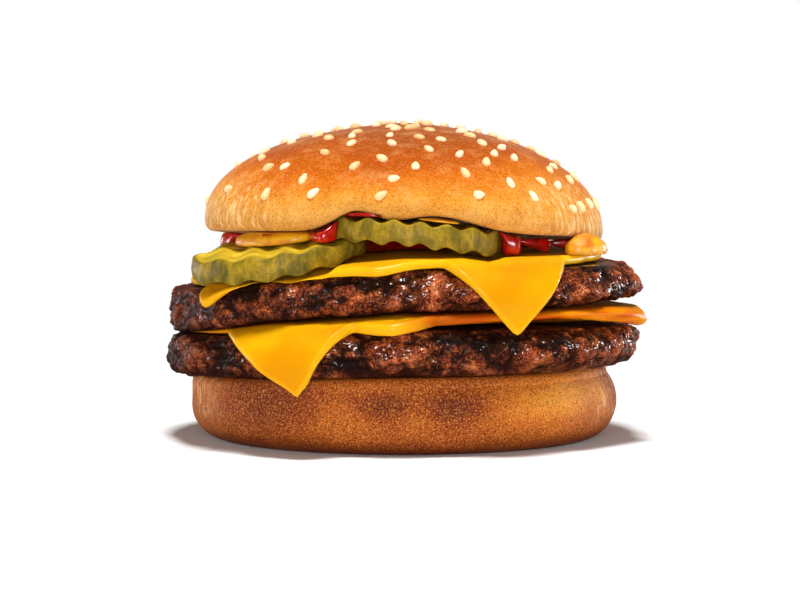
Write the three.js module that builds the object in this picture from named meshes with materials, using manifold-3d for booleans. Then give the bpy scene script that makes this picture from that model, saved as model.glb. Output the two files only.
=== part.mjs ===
// Double cheeseburger, standing on its heel. Millimetres, +Z up, front toward -Y.
// From the table up: bun heel, beef patty, cheese slice, beef patty, cheese slice,
// two crinkle-cut pickle slices, a sheet and a dab of ketchup, three dabs of mustard
// and a bun crown with sesame seeds fused to it.
// The layers are worked out in polar columns round the axis of the stack. The
// height of each layer is a function of x and y, and the next layer starts one
// LAYER_GAP above it.

import * as THREE from "three";
import { ConvexGeometry } from "three/addons/geometries/ConvexGeometry.js";
import { mergeVertices } from "three/addons/utils/BufferGeometryUtils.js";
import Module from "manifold-3d";

// ---- driving sizes ----

const LAYER_GAP = 0.3;
const CHEESE_GAP = 0.48; // the slices bend, so they keep a little more
const STACK_SHIFT = [0.22, 0.48]; // from the stack's axis to the middle of its box

const HEEL = {
  footRadius: 42, // flat that stands on the table
  radius: 50, // widest
  cornerHeight: 8, // height of the rounded lower edge
  shoulder: { left: 50.2, right: 47.4 }, // radius where the side meets the top edge
  topEdge: 2.2, // size of the rounded top edge
};

const LOWER_PATTY = {
  halfWidth: 56.4,
  halfDepth: 53,
  top: 28.1,
  bottom: 17.8,
  topDrop: { left: 3.8, leftStraight: 0.85, right: 1.8 },
  bottomDrop: { left: 2.9, leftStraight: 0.3, right: 0.1 },
  edge: { left: 5, right: 6 }, // depth of the rounded edge
  point: { left: 0.8, right: 1.0 }, // below 1 blunt, above 1 pointed
  nose: { left: 0.05, right: 0.3 }, // height of the outermost line, -1 to 1
  seed: 11,
};

const UPPER_PATTY = {
  halfWidth: 55.9,
  halfDepth: 52.6,
  top: 41.3,
  bottom: 32.0,
  topDrop: { left: 6.9, leftStraight: 0.85, right: 0.5 },
  bottomDrop: { left: 7.8, leftStraight: 0.25, right: -1.2 },
  edge: { left: 4.2, right: 6 },
  point: { left: 0.65, right: 1.15 },
  nose: { left: 0.0, right: -0.35 },
  seed: 23,
};

const PATTY_RELIEF = { coarse: 1.5, coarseSize: 11, fine: 0.8, fineSize: 6 };

// A slice is a melted square: an edge radius, pointed corners that reach past it,
// one retreat where it stays inside and lifts where its rim stands clear of the
// patty. Each has the angle it points to, how far it spreads either way and how its
// two sides curve: below 1 they bulge, above 1 they are hollow.
const LOWER_CHEESE = {
  thickness: { left: 2.2, right: 4.2 },
  bendRadius: { left: 8.0, right: 22 }, // where it goes over the patty's edge
  edgeRadius: 50.5,
  retreat: { angle: 112, reach: 1.5, before: 18, after: 18, curve: [1, 1] },
  corners: [
    { angle: -112.5, reach: 18.9, before: 29, after: 12, curve: [0.95, 1.45] },
    { angle: -93, reach: 4.6, before: 14, after: 11, curve: [1, 0.6] },
    { angle: -17, reach: 7.5, before: 42, after: 22, curve: [0.8, 1] },
    { angle: 68, reach: 9, before: 24, after: 22, curve: [1.1, 1.1] },
    { angle: 158, reach: 1.5, before: 20, after: 20, curve: [1, 1] },
  ],
  lifts: [{ angle: -50, reach: 2.2, before: 42, after: 50, curve: [1, 1] }],
};

const UPPER_CHEESE = {
  thickness: { left: 2.1, right: 2.1 },
  bendRadius: { left: 7.3, right: 8.5 },
  edgeRadius: 49.8,
  retreat: { angle: -20, reach: 4.3, before: 25, after: 50, curve: [0.45, 0.45] },
  corners: [
    { angle: -139.5, reach: 11.5, before: 8, after: 10.5, curve: [0.6, 0.95] },
    { angle: -119, reach: 2.8, before: 9, after: 9, curve: [0.8, 0.8] },
    { angle: -96, reach: 3.8, before: 30, after: 14, curve: [0.8, 1] },
    { angle: -64.5, reach: 18.8, before: 15.5, after: 20.5, curve: [0.84, 1.06] },
    { angle: 127, reach: 14, before: 22, after: 22, curve: [1.1, 1.1] },
  ],
  lifts: [],
};

const LEFT_PICKLE = {
  centre: [-28.2, -28],
  radius: 19.5,
  thickness: { left: 5.1, middle: 5.2, right: 4.2 },
  top: 46.0,
  slope: [0.143, 0.085],
  curve: { left: 0, right: 0 },
  waveLength: 7.3,
  waveHeight: 0.45,
  waveStart: -26.4,
};

const RIGHT_PICKLE = {
  centre: [2.1, -30],
  radius: 19.8,
  thickness: { left: 4.8, middle: 4.6, right: 5.4 },
  top: 51.4,
  slope: [-0.1, 0.0],
  curve: { left: -0.003, right: -0.001 },
  waveLength: 5.8,
  waveHeight: 0.5,
  waveStart: -8,
};

const CROWN = {
  radius: 46.6,
  top: 72.8,
  rimHeight: 47.3, // of the underside, brought in to the axis
  hollow: 0.7, // how much higher the underside is inside its rim
  rimTilt: [-0.016, -0.045],
  rearDrop: 1.1, // the rear rim settles on the cheese
  rightDroop: 1.3, // the right end bends down
  rises: [
    { centre: [6.5, -44], spread: [8.5, 30], height: 3.8 },
    { centre: [-11, -44], spread: [4.6, 30], height: 4.2 },
  ], // where the pickles push it up
  sideHeight: 2.6, // from the underside up to the widest line
  edgeInset: 2.0, // how far the underside stays inside the rim
  fullness: { left: 2.06, right: 1.98 }, // superellipse power of the dome
  unevenness: 0.6,
};

const SEED = { count: 134, length: 3.5, width: 2.5, height: 1.5, sunk: 0.55 };

const KETCHUP = {
  thickness: 0.9,
  edgeRadius: 30,
  rearRadius: 27.5,
  mound: { centre: [6, 10], radius: 27, depth: 7 }, // behind the pickles
  lobes: [
    { angle: -168.75, reach: 14, before: 16, after: 18, curve: [0.4, 0.4], depth: 4.2 },
    { angle: -135, reach: 15, before: 22, after: 14, curve: [0.5, 0.5], depth: 0 },
    { angle: -112.5, reach: 17.5, before: 14, after: 8, curve: [0.5, 0.5], depth: 7.5 },
    { angle: -56.25, reach: 15.5, before: 9, after: 11, curve: [0.35, 0.5], depth: 6 },
    { angle: -33.75, reach: 10, before: 12, after: 14, curve: [0.35, 0.35], depth: 5 },
    { angle: -11.25, reach: 19, before: 12, after: 12, curve: [0.5, 0.5], depth: 3.5 },
  ],
};

// Smaller dabs of sauce, squeezed between what is below and the crown.
const DABS = [
  { name: "mustard_left", centre: [-29.4, -26.6], size: [10.8, 5.6], turn: -40, drop: 0.2, height: 3.6 },
  { name: "mustard_front", centre: [7.6, -41.5], size: [4.6, 3.6], turn: 0, drop: 0, height: 0.8 },
  { name: "mustard_right", centre: [41.2, -23.8], size: [6.4, 4.2], turn: 58, drop: 0.2, height: 4.6 },
  { name: "ketchup_front", centre: [-9.4, -41.9], size: [5.2, 2.4], turn: -38, drop: 0, height: 1.3 },
];

const COLUMNS = { heel: 36, patty: 50, cheese: 24, crown: 48, sauce: 32, dab: 13 };
const PICKLE_SECTIONS = 29;

// ---- small maths ----

const radians = (degrees) => (degrees * Math.PI) / 180;
const clamp = (value, low, high) => Math.min(high, Math.max(low, value));
const mix = (a, b, share) => a + (b - a) * share;

function smoothStep(low, high, value) {
  const share = clamp((value - low) / (high - low), 0, 1);
  return share * share * (3 - 2 * share);
}

// 0 on the left side, 1 on the right side, changing over the middle.
const rightShare = (angle) => smoothStep(-0.6, 0.8, Math.cos(angle));

// Signed difference of two angles in degrees, between -180 and 180.
const angleBetween = (a, b) => ((((a - b) % 360) + 540) % 360) - 180;

// A repeatable number from 0 to 1 for a grid cell.
function cellValue(i, j, k, seed) {
  let hash = Math.imul(i, 374761393) ^ Math.imul(j, 668265263);
  hash ^= Math.imul(k, 1274126177) ^ Math.imul(seed, 974634777);
  hash = Math.imul(hash ^ (hash >>> 13), 1274126177);
  return ((hash ^ (hash >>> 16)) >>> 0) / 4294967296;
}

// Smooth noise from -1 to 1 with lumps about one cell across.
function lumps(x, y, z, size, seed) {
  const cell = [x / size, y / size, z / size];
  const base = cell.map(Math.floor);
  const share = cell.map((value, axis) => smoothStep(0, 1, value - base[axis]));
  let sum = 0;
  for (let corner = 0; corner < 8; corner += 1) {
    const step = [corner & 1, (corner >> 1) & 1, (corner >> 2) & 1];
    let weight = 1;
    for (let axis = 0; axis < 3; axis += 1) {
      weight *= step[axis] ? share[axis] : 1 - share[axis];
    }
    sum += weight * cellValue(base[0] + step[0], base[1] + step[1], base[2] + step[2], seed);
  }
  return 2 * sum - 1;
}

// ---- bodies from rings ----

// Closes a stack of rings with a point at each end. The rings run from the low
// point outward and on to the high point, each anticlockwise seen from above.
function bodyFromRings(rings, lowPoint, highPoint) {
  const columns = rings[0].length;
  const positions = [...lowPoint, ...highPoint];
  for (const ring of rings) {
    for (const point of ring) {
      positions.push(...point);
    }
  }
  const vertex = (ring, column) => 2 + ring * columns + (column % columns);
  const indices = [];
  const last = rings.length - 1;
  for (let column = 0; column < columns; column += 1) {
    indices.push(0, vertex(0, column + 1), vertex(0, column));
    indices.push(1, vertex(last, column), vertex(last, column + 1));
    for (let ring = 0; ring < last; ring += 1) {
      const a = vertex(ring, column);
      const b = vertex(ring, column + 1);
      const c = vertex(ring + 1, column + 1);
      const d = vertex(ring + 1, column);
      indices.push(a, b, c, a, c, d);
    }
  }
  const geometry = new THREE.BufferGeometry();
  geometry.setAttribute("position", new THREE.Float32BufferAttribute(positions, 3));
  geometry.setIndex(indices);
  return geometry;
}

function evenAngles(count) {
  return Array.from({ length: count }, (_, index) => radians(-180 + (360 * index) / count));
}

const polar = (angle, radius, height) => [
  radius * Math.cos(angle),
  radius * Math.sin(angle),
  height,
];

// ---- patties ----

function sideDrop(drop, share, x, halfWidth) {
  const reach = Math.abs(x) / halfWidth;
  if (x < 0) {
    return drop.left * (share * reach + (1 - share) * reach * reach);
  }
  return drop.right * reach * reach;
}

function pattyTop(patty, x) {
  return patty.top - sideDrop(patty.topDrop, patty.topDrop.leftStraight, x, patty.halfWidth);
}

function pattyBottom(patty, x) {
  return (
    patty.bottom - sideDrop(patty.bottomDrop, patty.bottomDrop.leftStraight, x, patty.halfWidth)
  );
}

function pattyRadius(patty, angle) {
  const across = Math.cos(angle) / patty.halfWidth;
  const along = Math.sin(angle) / patty.halfDepth;
  return 1 / Math.hypot(across, along);
}

function pattyEdge(patty, angle) {
  return mix(patty.edge.left, patty.edge.right, rightShare(angle));
}

// Where the patty's flat top ends and its edge starts to round.
const flatRadius = (patty, angle) => pattyRadius(patty, angle) - pattyEdge(patty, angle);

// A point on the rounded, craggy edge. lift runs from -90 (bottom) to 90 (top).
function pattyEdgePoint(patty, angle, lift) {
  const share = rightShare(angle);
  const point = mix(patty.point.left, patty.point.right, share);
  const nose = mix(patty.nose.left, patty.nose.right, share);
  const outward = Math.max(0, Math.cos(lift));
  const depth = pattyEdge(patty, angle) * (1 - outward ** point);
  const radius = pattyRadius(patty, angle) - depth;
  const x = radius * Math.cos(angle);
  const top = pattyTop(patty, x);
  const bottom = pattyBottom(patty, x);
  const level = Math.sin(lift) + nose * outward * outward;
  const height = mix(bottom, top, (level + 1) / 2);
  const y = radius * Math.sin(angle);
  const { coarse, coarseSize, fine, fineSize } = PATTY_RELIEF;
  const rough =
    coarse * (lumps(x, y, height, coarseSize, patty.seed) - 0.45) +
    fine * (lumps(x, y, height, fineSize, patty.seed + 1) - 0.4);
  const relief = Math.min(0.3, rough) * Math.sqrt(outward);
  return polar(
    angle,
    radius + relief * outward,
    height + 0.4 * relief * Math.sin(lift) * outward,
  );
}

function makePatty(patty) {
  const angles = evenAngles(COLUMNS.patty);
  const lifts = [-90, -62, -38, -15, 12, 38, 62, 90].map(radians);
  const innerShare = 0.6;
  const innerRing = (surface) =>
    angles.map((angle) => {
      const radius = innerShare * flatRadius(patty, angle);
      return polar(angle, radius, surface(patty, radius * Math.cos(angle)));
    });
  const edgeRings = lifts.map((lift) => angles.map((angle) => pattyEdgePoint(patty, angle, lift)));
  return bodyFromRings(
    [innerRing(pattyBottom), ...edgeRings, innerRing(pattyTop)],
    [0, 0, pattyBottom(patty, 0)],
    [0, 0, pattyTop(patty, 0)],
  );
}

// ---- heel ----

function heelTop(x) {
  return pattyBottom(LOWER_PATTY, x) - LAYER_GAP;
}

// Rings from the foot round the lower edge, up the side and over the top edge.
function makeHeel() {
  const angles = evenAngles(COLUMNS.heel);
  const { footRadius, radius, cornerHeight, topEdge } = HEEL;
  const shoulder = (angle) => mix(HEEL.shoulder.left, HEEL.shoulder.right, rightShare(angle));
  const rings = [angles.map((angle) => polar(angle, footRadius, 0))];
  const wander = (angle, height) => {
    const x = radius * Math.cos(angle);
    const y = radius * Math.sin(angle);
    return 0.7 * lumps(x, y, height, 16, 5) * smoothStep(0, 4, height);
  };
  for (const turn of [25, 50, 70, 90].map(radians)) {
    const ringRadius = footRadius + (radius - footRadius) * Math.sin(turn);
    const height = cornerHeight * (1 - Math.cos(turn));
    rings.push(angles.map((angle) => polar(angle, ringRadius + wander(angle, height), height)));
  }
  for (const share of [0.35, 0.7, 1]) {
    rings.push(
      angles.map((angle) => {
        const rim = heelTop(radius * Math.cos(angle)) - topEdge;
        const height = mix(cornerHeight, rim, share);
        const ringRadius = mix(radius, shoulder(angle), share * share);
        return polar(angle, ringRadius + wander(angle, height), height);
      }),
    );
  }
  for (const turn of [45, 90].map(radians)) {
    rings.push(
      angles.map((angle) => {
        const ringRadius = shoulder(angle) - topEdge * (1 - Math.cos(turn));
        const top = heelTop(ringRadius * Math.cos(angle));
        return polar(angle, ringRadius, top - topEdge * (1 - Math.sin(turn)));
      }),
    );
  }
  const innerRadius = 26;
  rings.push(
    angles.map((angle) => polar(angle, innerRadius, heelTop(innerRadius * Math.cos(angle)))),
  );
  return bodyFromRings(rings, [0, 0, 0], [0, 0, heelTop(0)]);
}

// ---- cheese ----

// Share of a corner's reach at an angle: 1 at the corner, 0 past its spread.
function cornerShare(corner, degrees) {
  const offset = angleBetween(degrees, corner.angle);
  const spread = offset < 0 ? corner.before : corner.after;
  const curve = corner.curve[offset < 0 ? 0 : 1];
  return Math.max(0, 1 - Math.abs(offset) / spread) ** curve;
}

function outlineRadius({ edgeRadius, corners, retreat }, angle) {
  const degrees = (angle * 180) / Math.PI;
  let radius = edgeRadius;
  for (const corner of corners) {
    radius = Math.max(radius, edgeRadius + corner.reach * cornerShare(corner, degrees));
  }
  return radius - retreat.reach * cornerShare(retreat, degrees);
}

// How far the slice's lower face is lifted off the patty near its rim.
function rimLift({ lifts }, angle, past) {
  const degrees = (angle * 180) / Math.PI;
  let lifted = 0;
  for (const lift of lifts) {
    lifted += lift.reach * cornerShare(lift, degrees);
  }
  return lifted * smoothStep(-12, 4, past);
}

// A point of a slice lying on a patty and bending over its edge. reach is the
// distance from the axis along the slice; upper picks the slice's top face.
function drapedPoint(cheese, patty, ceiling, angle, reach, upper) {
  const bendStart = flatRadius(patty, angle);
  const flatReach = Math.min(reach, bendStart);
  const x = flatReach * Math.cos(angle);
  const y = flatReach * Math.sin(angle);
  const lifted = rimLift(cheese, angle, reach - bendStart);
  const low = pattyTop(patty, x) + CHEESE_GAP + lifted;
  const room = ceiling(x, y) - CHEESE_GAP - low;
  const past = reach - flatReach;
  const whole = mix(cheese.thickness.left, cheese.thickness.right, rightShare(angle));
  const free = whole - 0.7 * lifted; // a lifted rim is thinner
  const thickness = mix(Math.min(free, room), free, smoothStep(3, 9, past));
  const innerBend = mix(cheese.bendRadius.left, cheese.bendRadius.right, rightShare(angle));
  const bendLength = (innerBend + thickness / 2) * (Math.PI / 2);
  const turn = Math.min(past / bendLength, 1) * (Math.PI / 2);
  const hang = Math.max(0, past - bendLength);
  const offset = innerBend + (upper ? thickness : 0);
  const flare = 0.05 * hang;
  return polar(
    angle,
    flatReach + offset * Math.sin(turn) + flare,
    low - innerBend + offset * Math.cos(turn) - hang,
  );
}

function sliceAngles(corners) {
  const angles = evenAngles(COLUMNS.cheese).map((angle) => (angle * 180) / Math.PI);
  const exact = [];
  for (const { angle, reach, before, after } of corners) {
    exact.push(angle - before, angle, angle + after);
    if (reach > 6) {
      exact.push(angle - before / 2, angle - before / 6, angle + after / 6, angle + after / 2);
    }
  }
  const wrapped = exact.map((angle) => angleBetween(angle, 0));
  const spaced = angles.filter((angle) =>
    wrapped.every((other) => Math.abs(angleBetween(angle, other)) > 3),
  );
  const sorted = [...wrapped, ...spaced].sort((a, b) => a - b);
  return sorted.filter((angle, index) => index === 0 || angle - sorted[index - 1] > 0.9);
}

function makeCheese(cheese, patty, ceiling) {
  const angles = sliceAngles(cheese.corners).map(radians);
  const edgeRound = 0.5;
  const shares = [0.6, 1.0];
  const bendShares = [0.25, 0.5, 0.75, 1.0];
  const reaches = (angle, inset) => {
    const outline = outlineRadius(cheese, angle) - inset;
    const flat = Math.min(flatRadius(patty, angle), outline * 0.97);
    return [
      ...shares.map((share) => share * flat),
      ...bendShares.map((share) => mix(flat, outline, share)),
    ];
  };
  const ringAt = (step, inset, upper) =>
    angles.map((angle) =>
      drapedPoint(cheese, patty, ceiling, angle, reaches(angle, inset)[step], upper),
    );
  const steps = [...shares, ...bendShares].map((_, step) => step);
  const lower = steps.map((step) => ringAt(step, edgeRound, false));
  const upper = steps.map((step) => ringAt(step, edgeRound, true));
  const lowEdge = ringAt(steps.length - 1, 0, false);
  const highEdge = ringAt(steps.length - 1, 0, true);
  const middle = lowEdge.map((point, column) =>
    point.map((value, axis) => mix(value, highEdge[column][axis], 0.5)),
  );
  const low = drapedPoint(cheese, patty, ceiling, 0, 0, false);
  const high = drapedPoint(cheese, patty, ceiling, 0, 0, true);
  return bodyFromRings([...lower, middle, ...upper.reverse()], low, high);
}

const lowerCheeseCeiling = (x) => pattyBottom(UPPER_PATTY, x);

// The pickles press into the upper slice; past their rims it rises free again.
function upperCheeseCeiling(x, y) {
  let height = Infinity;
  for (const pickle of [LEFT_PICKLE, RIGHT_PICKLE]) {
    const distance = Math.hypot(x - pickle.centre[0], y - pickle.centre[1]);
    const past = Math.max(0, distance - pickle.radius - 1.5);
    const lowest = pickleBottom(pickle, x, y) - pickle.waveHeight - 0.4;
    height = Math.min(height, lowest + 0.8 * past);
  }
  return height;
}

function upperCheeseTop(x) {
  return pattyTop(UPPER_PATTY, x) + CHEESE_GAP + UPPER_CHEESE.thickness.left;
}

// ---- pickles ----

function pickleTop(pickle, x, y) {
  const dx = x - pickle.centre[0];
  const dy = y - pickle.centre[1];
  const curve = dx < 0 ? pickle.curve.left : pickle.curve.right;
  return pickle.top + pickle.slope[0] * dx + pickle.slope[1] * dy + curve * dx * dx;
}

function pickleBottom(pickle, x, y) {
  const share = (x - pickle.centre[0]) / pickle.radius;
  const { left, middle, right } = pickle.thickness;
  const thickness = mix(middle, share < 0 ? left : right, Math.abs(share));
  return pickleTop(pickle, x, y) - thickness;
}

function pickleWave(pickle, x) {
  const turns = (x - pickle.waveStart) / pickle.waveLength;
  return pickle.waveHeight * Math.cos(2 * Math.PI * turns);
}

// Sections across the slice, one after another along x, so the ridges run true.
// grow is the clearance added all round when the slice is used as a cutter.
function makePickle(pickle, grow = 0) {
  const radius = pickle.radius + grow;
  const edge = 0.7;
  const rings = [];
  const point = (x, y, upper, inset) => {
    const height = upper
      ? pickleTop(pickle, x, y) + grow - inset
      : pickleBottom(pickle, x, y) - grow + inset;
    return [x, y, height + pickleWave(pickle, x)];
  };
  for (let index = 0; index < PICKLE_SECTIONS; index += 1) {
    const along = mix(-0.985, 0.985, index / (PICKLE_SECTIONS - 1));
    const x = pickle.centre[0] + radius * along;
    const half = radius * Math.sqrt(1 - along * along);
    const inner = Math.max(half - edge, half * 0.6);
    const ring = [];
    const add = (offset, upper, inset) =>
      ring.push(point(x, pickle.centre[1] + offset, upper, inset));
    add(half, false, edge);
    add(half, true, edge);
    add(inner, true, 0);
    add(0, true, 0);
    add(-inner, true, 0);
    add(-half, true, edge);
    add(-half, false, edge);
    add(-inner, false, 0);
    add(0, false, 0);
    add(inner, false, 0);
    rings.push(ring);
  }
  const endPoint = (side) => {
    const x = pickle.centre[0] + side * radius;
    const y = pickle.centre[1];
    const height = (pickleTop(pickle, x, y) + pickleBottom(pickle, x, y)) / 2;
    return [x, y, height + pickleWave(pickle, x)];
  };
  return bodyFromRings(rings, endPoint(-1), endPoint(1));
}

// ---- crown ----

// How far the pickles push the crown up at a place.
function crownRise(x, y) {
  let lifted = 0;
  for (const { centre, spread, height } of CROWN.rises) {
    const across = (x - centre[0]) / spread[0];
    const along = (y - centre[1]) / spread[1];
    lifted += height * Math.exp(-(across * across + along * along) / 2);
  }
  return lifted;
}

// The tilted plane the crown's rim lies in, before the pickles push it up.
function crownPlane(x, y) {
  const { rimHeight, rimTilt, rearDrop, rightDroop } = CROWN;
  const lowered = rearDrop * smoothStep(0, 45, y) + rightDroop * smoothStep(36, 46, x);
  return rimHeight + rimTilt[0] * x + rimTilt[1] * y - lowered;
}

function crownUnderside(x, y) {
  const hollow = CROWN.hollow * (1 - smoothStep(32, 44, Math.hypot(x, y)));
  return crownPlane(x, y) + crownRise(x, y) + hollow;
}

// A point on the dome; climb runs from 0 at the widest line to 90 at the top.
function domePoint(angle, climb) {
  const { radius, top, sideHeight, fullness, unevenness } = CROWN;
  const power = 2 / mix(fullness.left, fullness.right, rightShare(angle));
  const ringRadius = radius * Math.max(0, Math.cos(climb)) ** power;
  const [rimX, rimY] = polar(angle, radius, 0);
  const climbed = Math.sin(climb) ** power;
  const rise = crownRise(rimX, rimY) * (1 - climbed) ** 3;
  const widest = crownPlane(rimX, rimY) + sideHeight;
  const height = mix(widest, top, climbed) + rise;
  const [x, y] = polar(angle, ringRadius, 0);
  const swell = unevenness * lumps(x, y, height, 19, 41);
  const outward = ringRadius / radius;
  return polar(angle, ringRadius + swell * outward, height + swell * (1 - outward));
}

function makeDome() {
  const angles = evenAngles(COLUMNS.crown);
  const { radius, edgeInset, sideHeight } = CROWN;
  const underRing = (share) =>
    angles.map((angle) => {
      const [x, y] = polar(angle, share * (radius - edgeInset), 0);
      return [x, y, crownUnderside(x, y)];
    });
  const rings = [0.3, 0.6, 0.82, 1].map(underRing);
  for (const turn of [40, 68].map(radians)) {
    rings.push(
      angles.map((angle) => {
        const rim = domePoint(angle, 0);
        const ringRadius = Math.hypot(rim[0], rim[1]) - edgeInset * (1 - Math.sin(turn));
        return polar(angle, ringRadius, rim[2] - sideHeight * Math.cos(turn));
      }),
    );
  }
  for (const climb of [0, 11, 22, 33, 44, 55, 66, 78].map(radians)) {
    rings.push(angles.map((angle) => domePoint(angle, climb)));
  }
  return bodyFromRings(rings, [0, 0, crownUnderside(0, 0)], domePoint(0, Math.PI / 2));
}

// A repeatable sequence of numbers from 0 to 1.
function seededSequence(seed) {
  let state = seed;
  return () => {
    state = (state + 0x6d2b79f5) | 0;
    let value = Math.imul(state ^ (state >>> 15), 1 | state);
    value = (value + Math.imul(value ^ (value >>> 7), 61 | value)) ^ value;
    return ((value ^ (value >>> 14)) >>> 0) / 4294967296;
  };
}

// Seeds are thrown at the dome one by one and kept where they clear the others.
// They lie densest near the top and leave the lower side of the dome bare.
function seedPlaces() {
  const next = seededSequence(77);
  const places = [];
  for (let tries = 0; tries < 6000 && places.length < SEED.count; tries += 1) {
    const angle = radians(360 * next() - 180);
    const climb = radians(9 + 79 * next());
    const turn = Math.PI * next();
    const chance = next();
    const point = domePoint(angle, climb);
    const share = Math.hypot(point[0], point[1]) / CROWN.radius;
    const spacing = mix(3.1, 5.2, share);
    const clear = places.every((place) => {
      const gap = Math.hypot(...place.point.map((value, axis) => value - point[axis]));
      return gap > spacing;
    });
    if (clear && chance < mix(1, 0.35, share) * share + 0.15) {
      places.push({ point, angle, climb, turn });
    }
  }
  return places;
}

// Frame on the dome at a seed: outward normal and two directions along the skin.
function skinFrame({ angle, climb, turn }) {
  const step = 0.02;
  const here = new THREE.Vector3(...domePoint(angle, climb));
  const round = new THREE.Vector3(...domePoint(angle + step, climb)).sub(here);
  const upward = new THREE.Vector3(...domePoint(angle, climb - step)).sub(here).negate();
  const normal = new THREE.Vector3().crossVectors(round, upward).normalize();
  const tangent = round.normalize();
  const other = new THREE.Vector3().crossVectors(normal, tangent);
  const along = tangent
    .clone()
    .multiplyScalar(Math.cos(turn))
    .addScaledVector(other, Math.sin(turn));
  const across = new THREE.Vector3().crossVectors(normal, along);
  return { here, normal, along, across };
}

// A teardrop with a ridge along its back: blunt at one end, pointed at the other,
// with its rim sunk in the bread.
function makeSeed(place) {
  const { here, normal, along, across } = skinFrame(place);
  const { length, width, height, sunk } = SEED;
  const position = (lengthwise, sideways, upward) =>
    here
      .clone()
      .addScaledVector(along, (lengthwise * length) / 2)
      .addScaledVector(across, (sideways * width) / 2)
      .addScaledVector(normal, upward * height - sunk);
  const rim = Array.from({ length: 6 }, (_, index) => {
    const lengthwise = Math.cos((Math.PI * index) / 3);
    const sideways = Math.sin((Math.PI * index) / 3) * (1 - 0.3 * lengthwise);
    return position(lengthwise, sideways, 0.1);
  });
  const ridge = [position(-0.5, 0, 1), position(0.45, 0, 0.9)];
  return new ConvexGeometry([...rim, ...ridge]);
}

// ---- sauces ----

// Highest thing a sauce can rest on at a place.
function supportTop(x, y) {
  let height = upperCheeseTop(x);
  for (const pickle of [LEFT_PICKLE, RIGHT_PICKLE]) {
    const distance = Math.hypot(x - pickle.centre[0], y - pickle.centre[1]);
    if (distance < pickle.radius + 0.6) {
      height = Math.max(height, pickleTop(pickle, x, y) + pickle.waveHeight);
    }
  }
  return height;
}

// The ketchup clings to the crown's underside and runs down where it comes out.
function makeKetchup() {
  const angles = evenAngles(COLUMNS.sauce);
  const { thickness, edgeRadius, rearRadius, mound, lobes } = KETCHUP;
  const base = (angle) => mix(rearRadius, edgeRadius, (1 - Math.sin(angle)) / 2);
  const outline = (angle) => {
    const degrees = (angle * 180) / Math.PI;
    let reach = 0;
    for (const lobe of lobes) {
      reach = Math.max(reach, lobe.reach * cornerShare(lobe, degrees));
    }
    return base(angle) + reach;
  };
  const depth = (angle, radius) => {
    const degrees = (angle * 180) / Math.PI;
    let extra = 0;
    for (const lobe of lobes) {
      extra = Math.max(extra, lobe.depth * cornerShare(lobe, degrees));
    }
    const [x, y] = polar(angle, radius, 0);
    const away = Math.hypot(x - mound.centre[0], y - mound.centre[1]) / mound.radius;
    const heap = mound.depth * (1 - smoothStep(0.6, 1, away));
    return thickness + heap + extra * smoothStep(34, 43, radius);
  };
  const heights = (angle, radius) => {
    const [x, y] = polar(angle, radius, 0);
    const rim = smoothStep(CROWN.radius - 5, CROWN.radius + 1, radius);
    const inside = 1 - smoothStep(34, 42, radius);
    const top = crownUnderside(x, y) - LAYER_GAP - 1.5 * inside - 1.2 * rim;
    const wanted = top - depth(angle, radius);
    const bottom = Math.max(wanted, supportTop(x, y) + LAYER_GAP);
    return { top, bottom: Math.min(bottom, top - 0.45) };
  };
  const edge = 0.5;
  const shares = [0.4, 0.7, 0.9];
  const ringAt = (share, inset, place) =>
    angles.map((angle) => {
      const radius = share * outline(angle) - inset;
      const { top, bottom } = heights(angle, radius);
      const round = Math.min(edge, (top - bottom) * 0.3);
      const height = { low: bottom, high: top, lowEdge: bottom + round, highEdge: top - round };
      return polar(angle, radius, height[place]);
    });
  const rings = [
    ...shares.map((share) => ringAt(share, 0, "low")),
    ringAt(1, edge, "low"),
    ringAt(1, 0, "lowEdge"),
    ringAt(1, 0, "highEdge"),
    ringAt(1, edge, "high"),
    ...[...shares].reverse().map((share) => ringAt(share, 0, "high")),
  ];
  const centre = heights(0, 0);
  return bodyFromRings(rings, [0, 0, centre.bottom], [0, 0, centre.top]);
}

// A dab of sauce between its support and the bread above it. Past the crown's rim
// it swells up.
// grow is the clearance added all round when the dab is used as a cutter.
function makeDab({ centre, size, turn, drop, height }, grow = 0) {
  const angles = evenAngles(COLUMNS.dab);
  const tilt = radians(turn);
  const spot = (angle, share) => {
    const along = (size[0] + grow) * share * Math.cos(angle);
    const across = (size[1] + grow) * share * Math.sin(angle);
    return [
      centre[0] + along * Math.cos(tilt) - across * Math.sin(tilt),
      centre[1] + along * Math.sin(tilt) + across * Math.cos(tilt),
    ];
  };
  const heights = (x, y, share) => {
    const low = supportTop(x, y) + LAYER_GAP - drop * share;
    const swell = height * (1 - 0.55 * share * share);
    const squeezedOut = 2 * smoothStep(45, 48, Math.hypot(x, y));
    const ceiling = crownUnderside(x, y) - LAYER_GAP + squeezedOut;
    const high = Math.max(low + 0.3, Math.min(low + swell, ceiling));
    return { low: low - grow, high: high + grow };
  };
  const ringAt = (share, blend) =>
    angles.map((angle) => {
      const [x, y] = spot(angle, share);
      const { low, high } = heights(x, y, share);
      return [x, y, mix(low, high, blend)];
    });
  const low = heights(...centre, 0);
  return bodyFromRings(
    [ringAt(0.55, 0), ringAt(0.9, 0), ringAt(1, 0.35), ringAt(0.9, 0.9), ringAt(0.55, 1)],
    [...centre, low.low],
    [...centre, low.high],
  );
}

// ---- joining and cutting ----

const wasm = await Module();
wasm.setup();

function toSolid(geometry) {
  const clean = geometry.clone();
  clean.deleteAttribute("normal");
  clean.deleteAttribute("uv");
  const merged = mergeVertices(clean, 1e-4);
  return new wasm.Manifold(
    new wasm.Mesh({
      numProp: 3,
      vertProperties: new Float32Array(merged.attributes.position.array),
      triVerts: new Uint32Array(merged.index.array),
    }),
  );
}

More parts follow.
